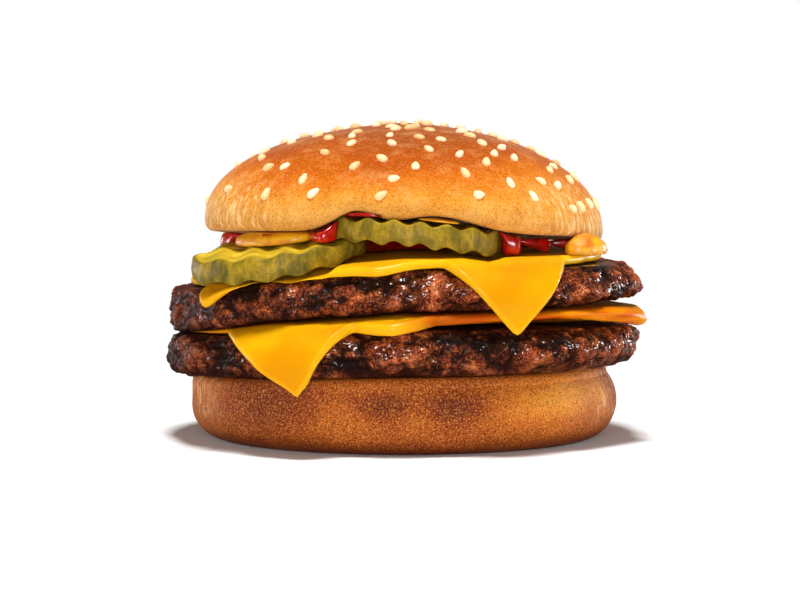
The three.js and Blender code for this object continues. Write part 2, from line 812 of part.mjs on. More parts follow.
function toGeometry(solid) {
  const mesh = solid.getMesh();
  const geometry = new THREE.BufferGeometry();
  geometry.setAttribute("position", new THREE.Float32BufferAttribute(mesh.vertProperties, 3));
  geometry.setIndex(Array.from(mesh.triVerts));
  return geometry;
}

const pickleCutters = [LEFT_PICKLE, RIGHT_PICKLE].map((pickle) =>
  toSolid(makePickle(pickle, LAYER_GAP)),
);
const dabCutters = DABS.map((dab) => toSolid(makeDab(dab, LAYER_GAP)));

const cutAway = (solid, cutters) =>
  cutters.reduce((rest, cutter) => rest.subtract(cutter), solid);

// The largest piece of a body; cutting leaves loose scraps beside it.
const mainPiece = (solid) =>
  solid.decompose().reduce((best, piece) => (piece.volume() > best.volume() ? piece : best));

// The left slice is pressed where the right one lies on it.
function makeLeftPickle() {
  return toGeometry(cutAway(toSolid(makePickle(LEFT_PICKLE)), [pickleCutters[1]]));
}

function makeCrown() {
  let crown = toSolid(makeDome());
  for (const place of seedPlaces()) {
    crown = crown.add(toSolid(makeSeed(place)));
  }
  return toGeometry(mainPiece(cutAway(crown, [...pickleCutters, ...dabCutters])));
}

// ---- the stack ----

const COLOURS = {
  bun_heel: "#a8602c",
  patty_lower: "#4f2a1c",
  cheese_lower: "#f3ae1c",
  patty_upper: "#5a2f1f",
  cheese_upper: "#f6b51c",
  pickle_left: "#8a7a2b",
  pickle_right: "#6c662b",
  ketchup: "#b01c16",
  ketchup_front: "#b01c16",
  mustard_left: "#eebb22",
  mustard_front: "#eebb22",
  mustard_right: "#eebb22",
  bun_crown: "#cf7f3a",
};

const GLOSS = {
  bun_heel: 0.75,
  patty_lower: 0.5,
  cheese_lower: 0.35,
  patty_upper: 0.5,
  cheese_upper: 0.35,
  pickle_left: 0.35,
  pickle_right: 0.35,
  ketchup: 0.15,
  ketchup_front: 0.15,
  mustard_left: 0.3,
  mustard_front: 0.3,
  mustard_right: 0.3,
  bun_crown: 0.5,
};

const burger = new THREE.Group();
burger.name = "double_cheeseburger";

function addNode(name, geometry) {
  geometry.translate(STACK_SHIFT[0], STACK_SHIFT[1], 0);
  geometry.computeVertexNormals();
  const material = new THREE.MeshStandardMaterial({
    color: COLOURS[name],
    roughness: GLOSS[name],
    metalness: 0,
  });
  const mesh = new THREE.Mesh(geometry, material);
  mesh.name = name;
  burger.add(mesh);
}

addNode("bun_heel", makeHeel());
addNode("patty_lower", makePatty(LOWER_PATTY));
addNode("cheese_lower", makeCheese(LOWER_CHEESE, LOWER_PATTY, lowerCheeseCeiling));
addNode("patty_upper", makePatty(UPPER_PATTY));
const upperCheese = toSolid(makeCheese(UPPER_CHEESE, UPPER_PATTY, upperCheeseCeiling));
addNode("cheese_upper", toGeometry(cutAway(upperCheese, pickleCutters)));
addNode("pickle_left", makeLeftPickle());
addNode("pickle_right", makePickle(RIGHT_PICKLE));
const ketchup = cutAway(toSolid(makeKetchup()), [...pickleCutters, ...dabCutters]);
addNode("ketchup", toGeometry(mainPiece(ketchup)));
for (const dab of DABS) {
  addNode(dab.name, toGeometry(cutAway(toSolid(makeDab(dab)), pickleCutters)));
}
addNode("bun_crown", makeCrown());

export default burger;
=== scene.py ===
import math

import bpy
import numpy as np
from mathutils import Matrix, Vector


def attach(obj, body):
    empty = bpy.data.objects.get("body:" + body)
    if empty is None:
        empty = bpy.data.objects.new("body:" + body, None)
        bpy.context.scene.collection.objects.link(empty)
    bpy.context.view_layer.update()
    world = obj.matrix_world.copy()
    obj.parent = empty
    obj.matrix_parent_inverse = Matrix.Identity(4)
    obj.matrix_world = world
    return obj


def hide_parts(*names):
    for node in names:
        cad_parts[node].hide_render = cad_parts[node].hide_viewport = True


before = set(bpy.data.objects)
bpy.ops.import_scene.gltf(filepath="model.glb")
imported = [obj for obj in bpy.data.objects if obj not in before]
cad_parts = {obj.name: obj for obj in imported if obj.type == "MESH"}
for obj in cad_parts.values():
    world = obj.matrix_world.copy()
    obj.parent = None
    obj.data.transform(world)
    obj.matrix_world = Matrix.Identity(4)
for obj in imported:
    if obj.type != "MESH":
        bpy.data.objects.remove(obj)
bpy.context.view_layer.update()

# ---- sizes of the stack, as in the CAD source ----

MM = 0.001
LAYER_GAP = 0.3
CHEESE_GAP = 0.48
STACK_SHIFT = (0.22, 0.48)
# Points round each kind of piece.
COLUMNS = dict(patty=960, heel=640, cheese=480, pickle=300, crown=600, ketchup=320, dab=96)

HEEL = dict(
    foot_radius=42, radius=50, corner_height=8, shoulder=(50.2, 47.4), top_edge=2.2,
    seed=5,
)
# Patches are given as angle, height, spread in degrees, spread in height and strength. The
# heel is painted paler where the strength is above 0, partly paler crust and partly painted
# highlights, and darker where it is below 0.
HEEL_PATCHES = [
    (-43, 12, 13, 4, 0.95),
    (-63, 8.5, 9, 3.5, 0.4),
    (-24, 11, 6, 5, 0.4),
    (-107, 9.5, 5, 3, 0.42),
    (-87, 9, 3.5, 3, 0.35),
    (-95, 6, 16, 2, 0.12),
    (-96, 11.5, 5, 1.6, -0.5),
    (-77, 10.5, 5, 2, -0.65),
    (-90, 16, 22, 1.6, 0.25),
    (-163, 12, 15, 7, 0.5),
    (-128, 12, 12, 4, -0.45),
    (20, 9, 22, 5, 0.4),
    (80, 11, 24, 4, 0.5),
    (130, 8, 18, 4, 0.4),
]
LOWER_PATTY = dict(
    half_width=56.4, half_depth=53, top=28.1, bottom=17.8,
    top_drop=dict(left=3.8, left_straight=0.85, right=1.8),
    bottom_drop=dict(left=2.9, left_straight=0.3, right=0.1),
    edge=(5, 6), point=(0.8, 1.0), nose=(0.05, 0.3), seed=11,
    glossy=[(-96, 22.5, 6, 1.6, 1), (-51, 25, 4, 2.5, 0.9), (-36, 24, 7, 3, 1)],
    charred=[(-73, 26, 9, 2, 0.6), (-53, 26.5, 6, 1.5, 0.5), (-106, 20.5, 6, 1.5, 0.5)],
)
UPPER_PATTY = dict(
    half_width=55.9, half_depth=52.6, top=41.3, bottom=32.0,
    top_drop=dict(left=6.9, left_straight=0.85, right=0.5),
    bottom_drop=dict(left=7.8, left_straight=0.25, right=-1.2),
    edge=(4.2, 6), point=(0.65, 1.15), nose=(0.0, -0.35), seed=23,
    glossy=[(-24, 39, 8, 2.5, 0.9), (-112, 35, 6, 1.5, 0.6), (-88, 38, 4, 1.5, 0.5)],
    charred=[
        (-101, 38.5, 7, 1.6, 0.6), (-129, 36, 6, 1.6, 0.5), (-78, 36.5, 5, 1.6, 0.5),
        (-120, 34, 6, 2.5, -0.4), (-107, 35, 6, 2.5, -0.4), (-142, 31, 6, 2, -0.3),
    ],
)
PATTY_RELIEF = dict(coarse=1.5, coarse_size=11, fine=0.8, fine_size=6)
MEAT = dict(chunk_size=8.5, grain_size=3.2, crumb_size=1.3, swell_size=6)


def corner(angle, reach, before, after, curve=(1, 1), depth=0):
    return dict(angle=angle, reach=reach, spread=(before, after), curve=curve, depth=depth)


LOWER_CHEESE = dict(
    thickness=(2.2, 4.2), bend_radius=(8.0, 22), edge_radius=50.5,
    retreat=corner(112, 1.5, 18, 18),
    corners=[
        corner(-112.5, 18.9, 29, 12, (0.95, 1.45)),
        corner(-93, 4.6, 14, 11, (1, 0.6)),
        corner(-17, 7.5, 42, 22, (0.8, 1)),
        corner(68, 9, 24, 22, (1.1, 1.1)),
        corner(158, 1.5, 20, 20),
    ],
    lifts=[corner(-50, 2.2, 42, 50)],
    # A darker orange spot painted as shade under the upper patty.
    stains=[(-77, 30.5, 8, 2.5, 1)],
)
UPPER_CHEESE = dict(
    thickness=(2.1, 2.1), bend_radius=(7.3, 8.5), edge_radius=49.8,
    retreat=corner(-20, 4.3, 25, 50, (0.45, 0.45)),
    corners=[
        corner(-139.5, 11.5, 8, 10.5, (0.6, 0.95)),
        corner(-119, 2.8, 9, 9, (0.8, 0.8)),
        corner(-96, 3.8, 30, 14, (0.8, 1)),
        corner(-64.5, 18.8, 15.5, 20.5, (0.84, 1.06)),
        corner(127, 14, 22, 22, (1.1, 1.1)),
    ],
    lifts=[], stains=[],
)
# How far a hanging corner leans out for its drop, and how the upper slice clears the pickles.
HANG_SLOPE = 0.05
PICKLE_PRESS = dict(margin=1.5, clearance=0.4, rise=0.8)
LEFT_PICKLE = dict(
    centre=(-28.2, -28), radius=19.5, thickness=(5.1, 5.2, 4.2), top=46.0,
    slope=(0.143, 0.085), curve=(0, 0),
    wave_length=7.3, wave_height=0.45, wave_start=-26.4,
)
RIGHT_PICKLE = dict(
    centre=(2.1, -30), radius=19.8, thickness=(4.8, 4.6, 5.4), top=51.4,
    slope=(-0.1, 0), curve=(-0.003, -0.001),
    wave_length=5.8, wave_height=0.5, wave_start=-8,
)
PICKLES = (LEFT_PICKLE, RIGHT_PICKLE)
PICKLE_MARGIN = 0.6
CROWN = dict(
    radius=46.6, top=72.8, rim_height=47.3, hollow=0.7, rim_tilt=(-0.016, -0.045),
    rear_drop=1.1, right_droop=1.3, side_height=2.6, edge_inset=2.0,
    fullness=(2.06, 1.98), unevenness=0.6,
    rises=[
        dict(centre=(6.5, -44), spread=(8.5, 30), height=3.8),
        dict(centre=(-11, -44), spread=(4.6, 30), height=4.2),
    ],
)
SEED = dict(
    count=134, length=3.5, width=2.5, height=1.5, sunk=0.55, shown=(0.86, 0.76),
    throws=6000, lowest=9, climb=79, spacing=(3.1, 5.2),
)
KETCHUP = dict(
    thickness=0.9, thinnest=0.45, edge_radius=30, rear_radius=27.5, edge_inset=0.8, bulge=1.1,
    mound=dict(centre=(6, 10), radius=27, depth=7),
    lobes=[
        corner(-168.75, 14, 16, 18, (0.4, 0.4), 4.2),
        corner(-135, 15, 22, 14, (0.5, 0.5), 0),
        corner(-112.5, 17.5, 14, 8, (0.5, 0.5), 7.5),
        corner(-56.25, 15.5, 9, 11, (0.35, 0.5), 6),
        corner(-33.75, 10, 12, 14, (0.35, 0.35), 5),
        corner(-11.25, 19, 12, 12, (0.5, 0.5), 3.5),
    ],
)
DABS = dict(
    mustard_left=dict(centre=(-29.4, -26.6), size=(10.8, 5.6), turn=-40, drop=0.2, height=3.6),
    mustard_front=dict(centre=(7.6, -41.5), size=(4.6, 3.6), turn=0, drop=0, height=0.8),
    mustard_right=dict(centre=(41.2, -23.8), size=(6.4, 4.2), turn=58, drop=0.2, height=4.6),
    ketchup_front=dict(centre=(-9.4, -41.9), size=(5.2, 2.4), turn=-38, drop=0, height=1.3),
)

# ---- small maths on arrays ----


def mix(a, b, share):
    return a + (b - a) * share


def smooth_step(low, high, value):
    share = np.clip((value - low) / (high - low), 0, 1)
    return share * share * (3 - 2 * share)


def right_share(angle):
    """0 on the left side, 1 on the right side."""
    return smooth_step(-0.6, 0.8, np.cos(angle))


def angle_between(a, b):
    """Signed difference of two angles in degrees, between -180 and 180."""
    return (a - b + 540) % 360 - 180


def patches(spots, angle, height):
    """Sum of soft patches on the outside of the stack at an angle in radians."""
    total = 0
    for at_angle, at_height, degrees, tall, strength in spots:
        across = angle_between(np.degrees(angle), at_angle) / degrees
        along = (height - at_height) / tall
        total = total + strength * np.exp(-(across**2 + along**2) / 2)
    return total


def polar(angle, radius, height):
    x = radius * np.cos(angle)
    y = radius * np.sin(angle)
    return np.stack(np.broadcast_arrays(x, y, height), axis=-1).astype(float)


def wrap32(value):
    return value & 0xFFFFFFFF


def cell_value(i, j, k, seed):
    """A repeatable number from 0 to 1 for a grid cell, the same as in the CAD source."""
    value = wrap32(i * 374761393) ^ wrap32(j * 668265263)
    value = value ^ wrap32(k * 1274126177) ^ wrap32(seed * 974634777)
    value = wrap32((value ^ (value >> 13)) * 1274126177)
    return (value ^ (value >> 16)) / 2**32


def lumps(x, y, z, size, seed):
    """Smooth noise from -1 to 1 with lumps about size across."""
    cells = np.broadcast_arrays(x / size, y / size, z / size)
    base = [np.floor(cell).astype(np.int64) for cell in cells]
    share = [smooth_step(0, 1, cell - low) for cell, low in zip(cells, base)]
    total = 0
    for step_x in (0, 1):
        for step_y in (0, 1):
            for step_z in (0, 1):
                weight = 1
                for step, part in zip((step_x, step_y, step_z), share):
                    weight = weight * (part if step else 1 - part)
                total = total + weight * cell_value(
                    base[0] + step_x, base[1] + step_y, base[2] + step_z, seed
                )
    return 2 * total - 1


def layered_lumps(x, y, z, size, seed, layers):
    """Lumps with ever finer and fainter ones on top."""
    total = 0
    strength = 1.0
    for layer in range(layers):
        total = total + strength * lumps(x, y, z, size, seed + layer)
        size = size * 0.5
        strength = strength * 0.5
    return total / (2 - 2 * strength)


def nuggets(x, y, z, size, seed):
    """Distance to the nearest of many scattered points: 0 in a nugget's middle."""
    cells = np.broadcast_arrays(x / size, y / size, z / size)
    base = [np.floor(cell).astype(np.int64) for cell in cells]
    nearest = np.full(cells[0].shape, 9.0)
    for step_x in (-1, 0, 1):
        for step_y in (-1, 0, 1):
            for step_z in (-1, 0, 1):
                place = (base[0] + step_x, base[1] + step_y, base[2] + step_z)
                away = 0
                for axis in range(3):
                    point = place[axis] + cell_value(*place, seed + axis)
                    away = away + (cells[axis] - point) ** 2
                nearest = np.minimum(nearest, away)
    return np.sqrt(nearest)


# ---- meshes ----


def even_angles(count):
    return np.radians(-180 + 360 * np.arange(count) / count)


def outward(rings):
    """Unit normals of a stack of rings, pointing out of the body."""
    around = np.roll(rings, -1, axis=1) - np.roll(rings, 1, axis=1)
    upward = np.gradient(rings, axis=0)
    normal = np.cross(around, upward)
    return normal / np.maximum(np.linalg.norm(normal, axis=-1, keepdims=True), 1e-9)


def make_mesh(name, points, faces, masks):
    """A smooth mesh from millimetre points round the stack's axis, with one mask per point."""
    mesh = bpy.data.meshes.new(name)
    placed = (points + np.array([*STACK_SHIFT, 0])) * MM
    mesh.from_pydata(placed.tolist(), [], faces)
    mesh.shade_smooth()
    for key, values in masks.items():
        attribute = mesh.attributes.new(key, "FLOAT", "POINT")
        attribute.data.foreach_set("value", np.asarray(values, np.float32).ravel())
    piece = bpy.data.objects.new(name, mesh)
    bpy.context.scene.collection.objects.link(piece)
    return piece


def ring_faces(rows, columns):
    """Quads between rings and a fan at either end; points 0 and 1 are the low and high end."""
    index = 2 + np.arange(rows * columns).reshape(rows, columns)
    beside = np.roll(index, -1, axis=1)
    quads = np.stack([index[:-1], beside[:-1], beside[1:], index[1:]], axis=-1).reshape(-1, 4)
    low = [(0, b, a) for a, b in zip(index[0].tolist(), beside[0].tolist())]
    high = [(1, a, b) for a, b in zip(index[-1].tolist(), beside[-1].tolist())]
    return quads.tolist() + low + high


def ring_body(name, rings, masks):
    """A closed body from rings that run from its low middle outward and up to its high middle."""
    rows, columns = rings.shape[:2]
    ends = [rings[0].mean(axis=0), rings[-1].mean(axis=0)]
    points = np.concatenate([np.array(ends), rings.reshape(-1, 3)])
    padded = {}
    for key, values in masks.items():
        values = np.broadcast_to(values, (rows, columns))
        padded[key] = np.concatenate([[values[0].mean(), values[-1].mean()], values.ravel()])
    return make_mesh(name, points, ring_faces(rows, columns), padded)


# ---- patties ----


def side_drop(drop, x, half_width):
    reach = np.abs(x) / half_width
    straight = drop.get("left_straight", 0)
    left = drop["left"] * (straight * reach + (1 - straight) * reach * reach)
    return np.where(x < 0, left, drop["right"] * reach * reach)


def patty_top(patty, x):
    return patty["top"] - side_drop(patty["top_drop"], x, patty["half_width"])


def patty_bottom(patty, x):
    return patty["bottom"] - side_drop(patty["bottom_drop"], x, patty["half_width"])


def patty_radius(patty, angle):
    return 1 / np.hypot(
        np.cos(angle) / patty["half_width"], np.sin(angle) / patty["half_depth"]
    )


def flat_radius(patty, angle):
    """Where the patty's flat top ends and its edge starts to round."""
    return patty_radius(patty, angle) - mix(*patty["edge"], right_share(angle))


def patty_edge_point(patty, angle, lift):
    """A point on the rounded, craggy edge. lift runs from -90 (bottom) to 90 (top)."""
    share = right_share(angle)
    out = np.maximum(0, np.cos(lift))
    depth = mix(*patty["edge"], share) * (1 - out ** mix(*patty["point"], share))
    radius = patty_radius(patty, angle) - depth
    x = radius * np.cos(angle)
    y = radius * np.sin(angle)
    level = np.sin(lift) + mix(*patty["nose"], share) * out * out
    height = mix(patty_bottom(patty, x), patty_top(patty, x), (level + 1) / 2)
    size = PATTY_RELIEF
    rough = size["coarse"] * (lumps(x, y, height, size["coarse_size"], patty["seed"]) - 0.45)
    rough += size["fine"] * (lumps(x, y, height, size["fine_size"], patty["seed"] + 1) - 0.4)
    relief = np.minimum(0.3, rough) * np.sqrt(out)
    return polar(angle, radius + relief * out, height + 0.4 * relief * np.sin(lift) * out)


def make_patty(name, patty):
    angles = even_angles(COLUMNS["patty"])[None, :]
    lifts = np.radians(np.linspace(-90, 90, 74))[:, None]

    def inner(surface, share):
        radius = share * flat_radius(patty, angles)
        return polar(angles, radius, surface(patty, radius * np.cos(angles)))

    rings = np.concatenate(
        [inner(patty_bottom, share) for share in (0.4, 0.8)]
        + [patty_edge_point(patty, angles, lifts)]
        + [inner(patty_top, share) for share in (0.8, 0.4)]
    )
    turn = np.concatenate([[-90, -90], np.degrees(lifts[:, 0]), [90, 90]])[:, None]
    side = np.maximum(0, np.cos(np.radians(turn)))
    x, y, z = np.moveaxis(rings, -1, 0)
    seed = patty["seed"] + 100
    warp = 1.6 * lumps(x, y, z, 6, seed) + 0.7 * lumps(x, y, z, 2.2, seed + 1)
    place = (x + warp, y - warp, 1.25 * z + warp)
    chunks = nuggets(*place, MEAT["chunk_size"], seed + 2)
    grains = nuggets(*place, MEAT["grain_size"], seed + 6)
    crumbs = nuggets(x, y, z, MEAT["crumb_size"], seed + 10)
    swell = layered_lumps(x, y, z, MEAT["swell_size"], seed + 14, 3)
    depth = 1.7 * (0.5 - chunks) + 1.1 * (0.45 - grains) + 0.55 * (0.45 - crumbs) + 0.5 * swell
    fade = np.where(turn > 0, smooth_step(92, 58, turn), side**0.6)
    rings = rings + outward(rings) * (depth * fade)[..., None]
    char = 0.7 * layered_lumps(x, y, z, 7, seed + 20, 3) + patches(patty["charred"], angles, z)
    wet = 0.8 * layered_lumps(x, y, z, 6, seed + 30, 2) + patches(patty["glossy"], angles, z)
    # How deep a point lies among the meat's nuggets; the beef finish paints shade into the
    # crevices and light onto the nugget tops from it.
    groove = 0.45 * chunks + 0.4 * grains + 0.15 * crumbs
    masks = dict(char=char, wet=wet, groove=groove, turn=turn, leftward=-np.cos(angles))
    return ring_body(name, rings, masks)


# ---- heel ----


def heel_top(x):
    return patty_bottom(LOWER_PATTY, x) - LAYER_GAP


def make_heel():
    angles = even_angles(COLUMNS["heel"])[None, :]
    foot, radius = HEEL["foot_radius"], HEEL["radius"]
    corner_height, edge = HEEL["corner_height"], HEEL["top_edge"]
    shoulder = mix(*HEEL["shoulder"], right_share(angles))

    def wander(height):
        x = radius * np.cos(angles)
        y = radius * np.sin(angles)
        return 0.7 * lumps(x, y, height, 16, HEEL["seed"]) * smooth_step(0, 4, height)

    turns = np.radians(np.linspace(0, 90, 34))[:, None]
    low_radius = foot + (radius - foot) * np.sin(turns)
    low_height = corner_height * (1 - np.cos(turns))
    lower = polar(angles, low_radius + wander(low_height), low_height)

    shares = np.linspace(0, 1, 50)[1:, None]
    rim = heel_top(radius * np.cos(angles)) - edge
    side_height = mix(corner_height, rim, shares)
    side_radius = mix(radius, shoulder, shares * shares) + wander(side_height)
    side = polar(angles, side_radius, side_height)

    turns = np.radians(np.linspace(0, 90, 14))[1:, None]
    edge_radius = shoulder - edge * (1 - np.cos(turns))
    top = heel_top(edge_radius * np.cos(angles))
    edge_height = top - edge * (1 - np.sin(turns))
    bump = wander(edge_height) * np.cos(turns)
    upper = polar(angles, edge_radius + bump, edge_height)

    inner_radius = np.array([[20.0], [34.0]])
    base = polar(angles, inner_radius, 0 * angles)
    flat_radius_top = np.array([[34.0], [20.0]])
    cover = polar(angles, flat_radius_top, heel_top(flat_radius_top * np.cos(angles)))
    rings = np.concatenate([base, lower, side, upper, cover])

    x, y, z = np.moveaxis(rings, -1, 0)
    exposed = smooth_step(0.2, 3, z) * smooth_step(-0.3, 1.2, heel_top(x) - z)
    pores = nuggets(x, y, z, 1.6, 61)
    dents = layered_lumps(x, y, z, 6, 71, 3)
    depth = exposed * (0.2 * dents - 0.12 * smooth_step(0.5, 0.1, pores))
    rings = rings + outward(rings) * depth[..., None]
    # Paler crust mottling plus the heel patches, some of which are painted highlights.
    pale = 0.25 * layered_lumps(x, y, z, 9, 75, 3) + patches(HEEL_PATCHES, angles, z)
    # Left and right sides above the foot: wrinkles there are painted pale, partly paler crust and
    # partly painted rim light.
    creased = smooth_step(0.8, 0.95, np.abs(np.cos(angles))) * smooth_step(4, 9, z)
    return ring_body("heel", rings, dict(height=z, pale=pale, creased=creased))


# ---- cheese ----


def corner_share(one, degrees, rounding=0):
    """Share of a corner's reach at an angle: 1 at the corner, 0 past its spread."""
    offset = angle_between(degrees, one["angle"])
    spread = np.where(offset < 0, one["spread"][0], one["spread"][1])
    curve = np.where(offset < 0, one["curve"][0], one["curve"][1])
    away = np.sqrt(offset * offset + rounding * rounding)
    return np.maximum(0, 1 - away / spread) ** curve


def outline_radius(cheese, angle):
    degrees = np.degrees(angle)
    radius = np.full(np.shape(angle), float(cheese["edge_radius"]))
    for one in cheese["corners"]:
        reach = cheese["edge_radius"] + one["reach"] * corner_share(one, degrees, 0.7)
        radius = np.maximum(radius, reach)
    retreat = cheese["retreat"]
    return radius - retreat["reach"] * corner_share(retreat, degrees)


def rim_lift(cheese, angle, past):
    """How far the slice's lower face is lifted off the patty near its rim."""
    lifted = 0
    for lift in cheese["lifts"]:
        lifted = lifted + lift["reach"] * corner_share(lift, np.degrees(angle))
    return lifted * smooth_step(-12, 4, past)


def draped_point(cheese, patty, ceiling, angle, reach, level):
    """A point of a slice that lies on a patty and bends over its edge. reach is the distance
    from the axis along the slice; level is 0 on its lower face and 1 on its upper face."""
    bend_start = flat_radius(patty, angle)
    flat_reach = np.minimum(reach, bend_start)
    x = flat_reach * np.cos(angle)
    y = flat_reach * np.sin(angle)
    lifted = rim_lift(cheese, angle, reach - bend_start)
    low = patty_top(patty, x) + CHEESE_GAP + lifted
    room = ceiling(x, y) - CHEESE_GAP - low
    past = reach - flat_reach
    free = mix(*cheese["thickness"], right_share(angle)) - 0.7 * lifted
    thickness = mix(np.minimum(free, room), free, smooth_step(3, 9, past))
    inner_bend = mix(*cheese["bend_radius"], right_share(angle))
    bend_length = (inner_bend + thickness / 2) * (math.pi / 2)
    turn = np.minimum(past / bend_length, 1) * (math.pi / 2)
    hang = np.maximum(0, past - bend_length)
    offset = inner_bend + level * thickness
    radius = flat_reach + offset * np.sin(turn) + HANG_SLOPE * hang
    return polar(angle, radius, low - inner_bend + offset * np.cos(turn) - hang)


def make_cheese(name, cheese, patty, ceiling, seed):
    angles = even_angles(COLUMNS["cheese"])[None, :]
    outline = outline_radius(cheese, angles)
    outline = outline + 0.35 * lumps(
        outline * np.cos(angles), outline * np.sin(angles), 0, 6, seed
    )
    half = mix(*cheese["thickness"], right_share(angles)) / 2
    shares = np.array([0.35, 0.6, 0.75, 0.85])
    flat = np.minimum(flat_radius(patty, angles), outline * 0.97)
    inner = shares[:, None] * flat
    along = np.linspace(0.92, 1, 34)[:, None]
    outer_start = 0.92 * flat
    outer = mix(outer_start, outline - half, (along - 0.92) / 0.08)
    reach = np.concatenate([inner, outer])
    turn = np.radians(np.linspace(-90, 90, 11))[1:-1, None]
    round_reach = outline - half + half * np.cos(turn)
    rows = np.concatenate([reach, round_reach, reach[::-1]])
    level = np.concatenate(
        [np.zeros(len(reach)), 0.5 + 0.5 * np.sin(turn[:, 0]), np.ones(len(reach))]
    )[:, None]
    rings = draped_point(cheese, patty, ceiling, angles, rows, level)
    edge = smooth_step(4, 0, outline - rows)
    past = rows - flat
    x, y, z = np.moveaxis(rings, -1, 0)
    free = smooth_step(0, 5, past)
    wave = 0.3 * lumps(x, y, z, 9, seed + 1) + 0.12 * lumps(x, y, z, 3.5, seed + 2)
    bead = 0.12 * edge * level
    normal = outward(rings)
    facing = np.where(level > 0.5, 1, -1)
    rings = rings + normal * (facing * wave * free + bead * free)[..., None]
    # Orange where the rim is lifted, partly meat juice and partly painted shade; on the lower
    # slice the top of its bend under the upper patty is painted the same way as shade.
    soaked = 1.2 * rim_lift(cheese, angles, past) - 0.4
    if cheese["lifts"]:
        soaked = np.maximum(soaked, 0.8 * smooth_step(3.5, 1.5, past))
    soaked = np.clip(soaked, 0, 1)
    stained = patches(cheese["stains"], angles, z)
    return ring_body(name, rings, dict(edge=edge, past=past, soaked=soaked, stained=stained))


def lower_cheese_ceiling(x, y):
    return patty_bottom(UPPER_PATTY, x)


def pickle_distance(pickle, x, y):
    return np.hypot(x - pickle["centre"][0], y - pickle["centre"][1])


def upper_cheese_ceiling(x, y):
    """The pickles press into the upper slice; past their rims it rises free again."""
    height = np.full(np.broadcast(x, y).shape, np.inf)
    press = PICKLE_PRESS
    for pickle in PICKLES:
        past = pickle_distance(pickle, x, y) - pickle["radius"] - press["margin"]
        lowest = pickle_bottom(pickle, x, y) - pickle["wave_height"] - press["clearance"]
        height = np.minimum(height, lowest + press["rise"] * np.maximum(0, past))
    return height


def upper_cheese_top(x):
    return patty_top(UPPER_PATTY, x) + CHEESE_GAP + UPPER_CHEESE["thickness"][0]


# ---- pickles ----


def pickle_top(pickle, x, y):
    dx = x - pickle["centre"][0]
    dy = y - pickle["centre"][1]
    curve = np.where(dx < 0, pickle["curve"][0], pickle["curve"][1])
    return pickle["top"] + pickle["slope"][0] * dx + pickle["slope"][1] * dy + curve * dx * dx


def pickle_bottom(pickle, x, y):
    share = (x - pickle["centre"][0]) / pickle["radius"]
    left, middle, right = pickle["thickness"]
    return pickle_top(pickle, x, y) - mix(middle, np.where(share < 0, left, right), np.abs(share))


def pickle_wave(pickle, x):
    turns = (x - pickle["wave_start"]) / pickle["wave_length"]
    return pickle["wave_height"] * np.cos(2 * math.pi * turns)


def make_pickle(name, pickle, grow=0, seed=0):
    """A crinkle-cut slice. grow is the clearance added all round when it is used as a cutter."""
    angles = even_angles(COLUMNS["pickle"])[None, :]
    radius = pickle["radius"] + grow
    edge = 0.7
    inner = np.linspace(0.06, 1, 34)[:, None] * (radius - edge)
    turn = np.radians(np.linspace(0, 90, 5))[1:, None]
    top_radius = np.concatenate([inner, radius - edge + edge * np.sin(turn)])
    top_inset = np.concatenate([0 * inner, edge * (1 - np.cos(turn))])
    side = np.linspace(0, 1, 8)[1:-1, None]
    rings = []
    for upper in (False, True):
        ring_radius = top_radius if not upper else top_radius[::-1]
        inset = top_inset if not upper else top_inset[::-1]
        flat = polar(angles, ring_radius, 0)
        x = flat[..., 0] + pickle["centre"][0]
        y = flat[..., 1] + pickle["centre"][1]
        if upper:
            z = pickle_top(pickle, x, y) + grow - inset
        else:
            z = pickle_bottom(pickle, x, y) - grow + inset
        rings.append(np.stack([x, y, z + pickle_wave(pickle, x)], axis=-1))
    belly = 0.25 * np.sin(np.pi * side)[..., None]
    low, high = rings[0][-1:], rings[1][:1]
    band = mix(low, high, side[..., None])
    direction = np.concatenate([np.cos(angles), np.sin(angles), 0 * angles]).T[None]
    band = band + belly * direction
    rings = np.concatenate([rings[0], band, rings[1]])
    x, y, z = np.moveaxis(rings, -1, 0)
    away = pickle_distance(pickle, x, y)
    if not grow:
        rough = 0.12 * lumps(x, y, z, 2.5, seed) + 0.05 * lumps(x, y, z, 1.0, seed + 1)
        rings = rings + outward(rings) * (rough * smooth_step(0, 4, away))[..., None]
    return ring_body(name, rings, dict(rim=radius - away))


# ---- crown ----


def crown_rise(x, y):
    lifted = 0
    for rise in CROWN["rises"]:
        across = (x - rise["centre"][0]) / rise["spread"][0]
        along = (y - rise["centre"][1]) / rise["spread"][1]
        lifted = lifted + rise["height"] * np.exp(-(across**2 + along**2) / 2)
    return lifted


def crown_plane(x, y):
    tilt = CROWN["rim_tilt"]
    lowered = CROWN["rear_drop"] * smooth_step(0, 45, y)
    lowered = lowered + CROWN["right_droop"] * smooth_step(36, 46, x)
    return CROWN["rim_height"] + tilt[0] * x + tilt[1] * y - lowered


def crown_underside(x, y):
    hollow = CROWN["hollow"] * (1 - smooth_step(32, 44, np.hypot(x, y)))
    return crown_plane(x, y) + crown_rise(x, y) + hollow


def dome_point(angle, climb):
    """A point on the dome; climb runs from 0 at the widest line to 90 at the top."""
    power = 2 / mix(*CROWN["fullness"], right_share(angle))
    radius = CROWN["radius"]
    ring_radius = radius * np.maximum(0, np.cos(climb)) ** power
    rim_x = radius * np.cos(angle)
    rim_y = radius * np.sin(angle)
    climbed = np.sin(climb) ** power
    rise = crown_rise(rim_x, rim_y) * (1 - climbed) ** 3
    widest = crown_plane(rim_x, rim_y) + CROWN["side_height"]
    height = mix(widest, CROWN["top"], climbed) + rise
    x = ring_radius * np.cos(angle)
    y = ring_radius * np.sin(angle)
    swell = CROWN["unevenness"] * lumps(x, y, height, 19, 41)
    out = ring_radius / radius
    return polar(angle, ring_radius + swell * out, height + swell * (1 - out))


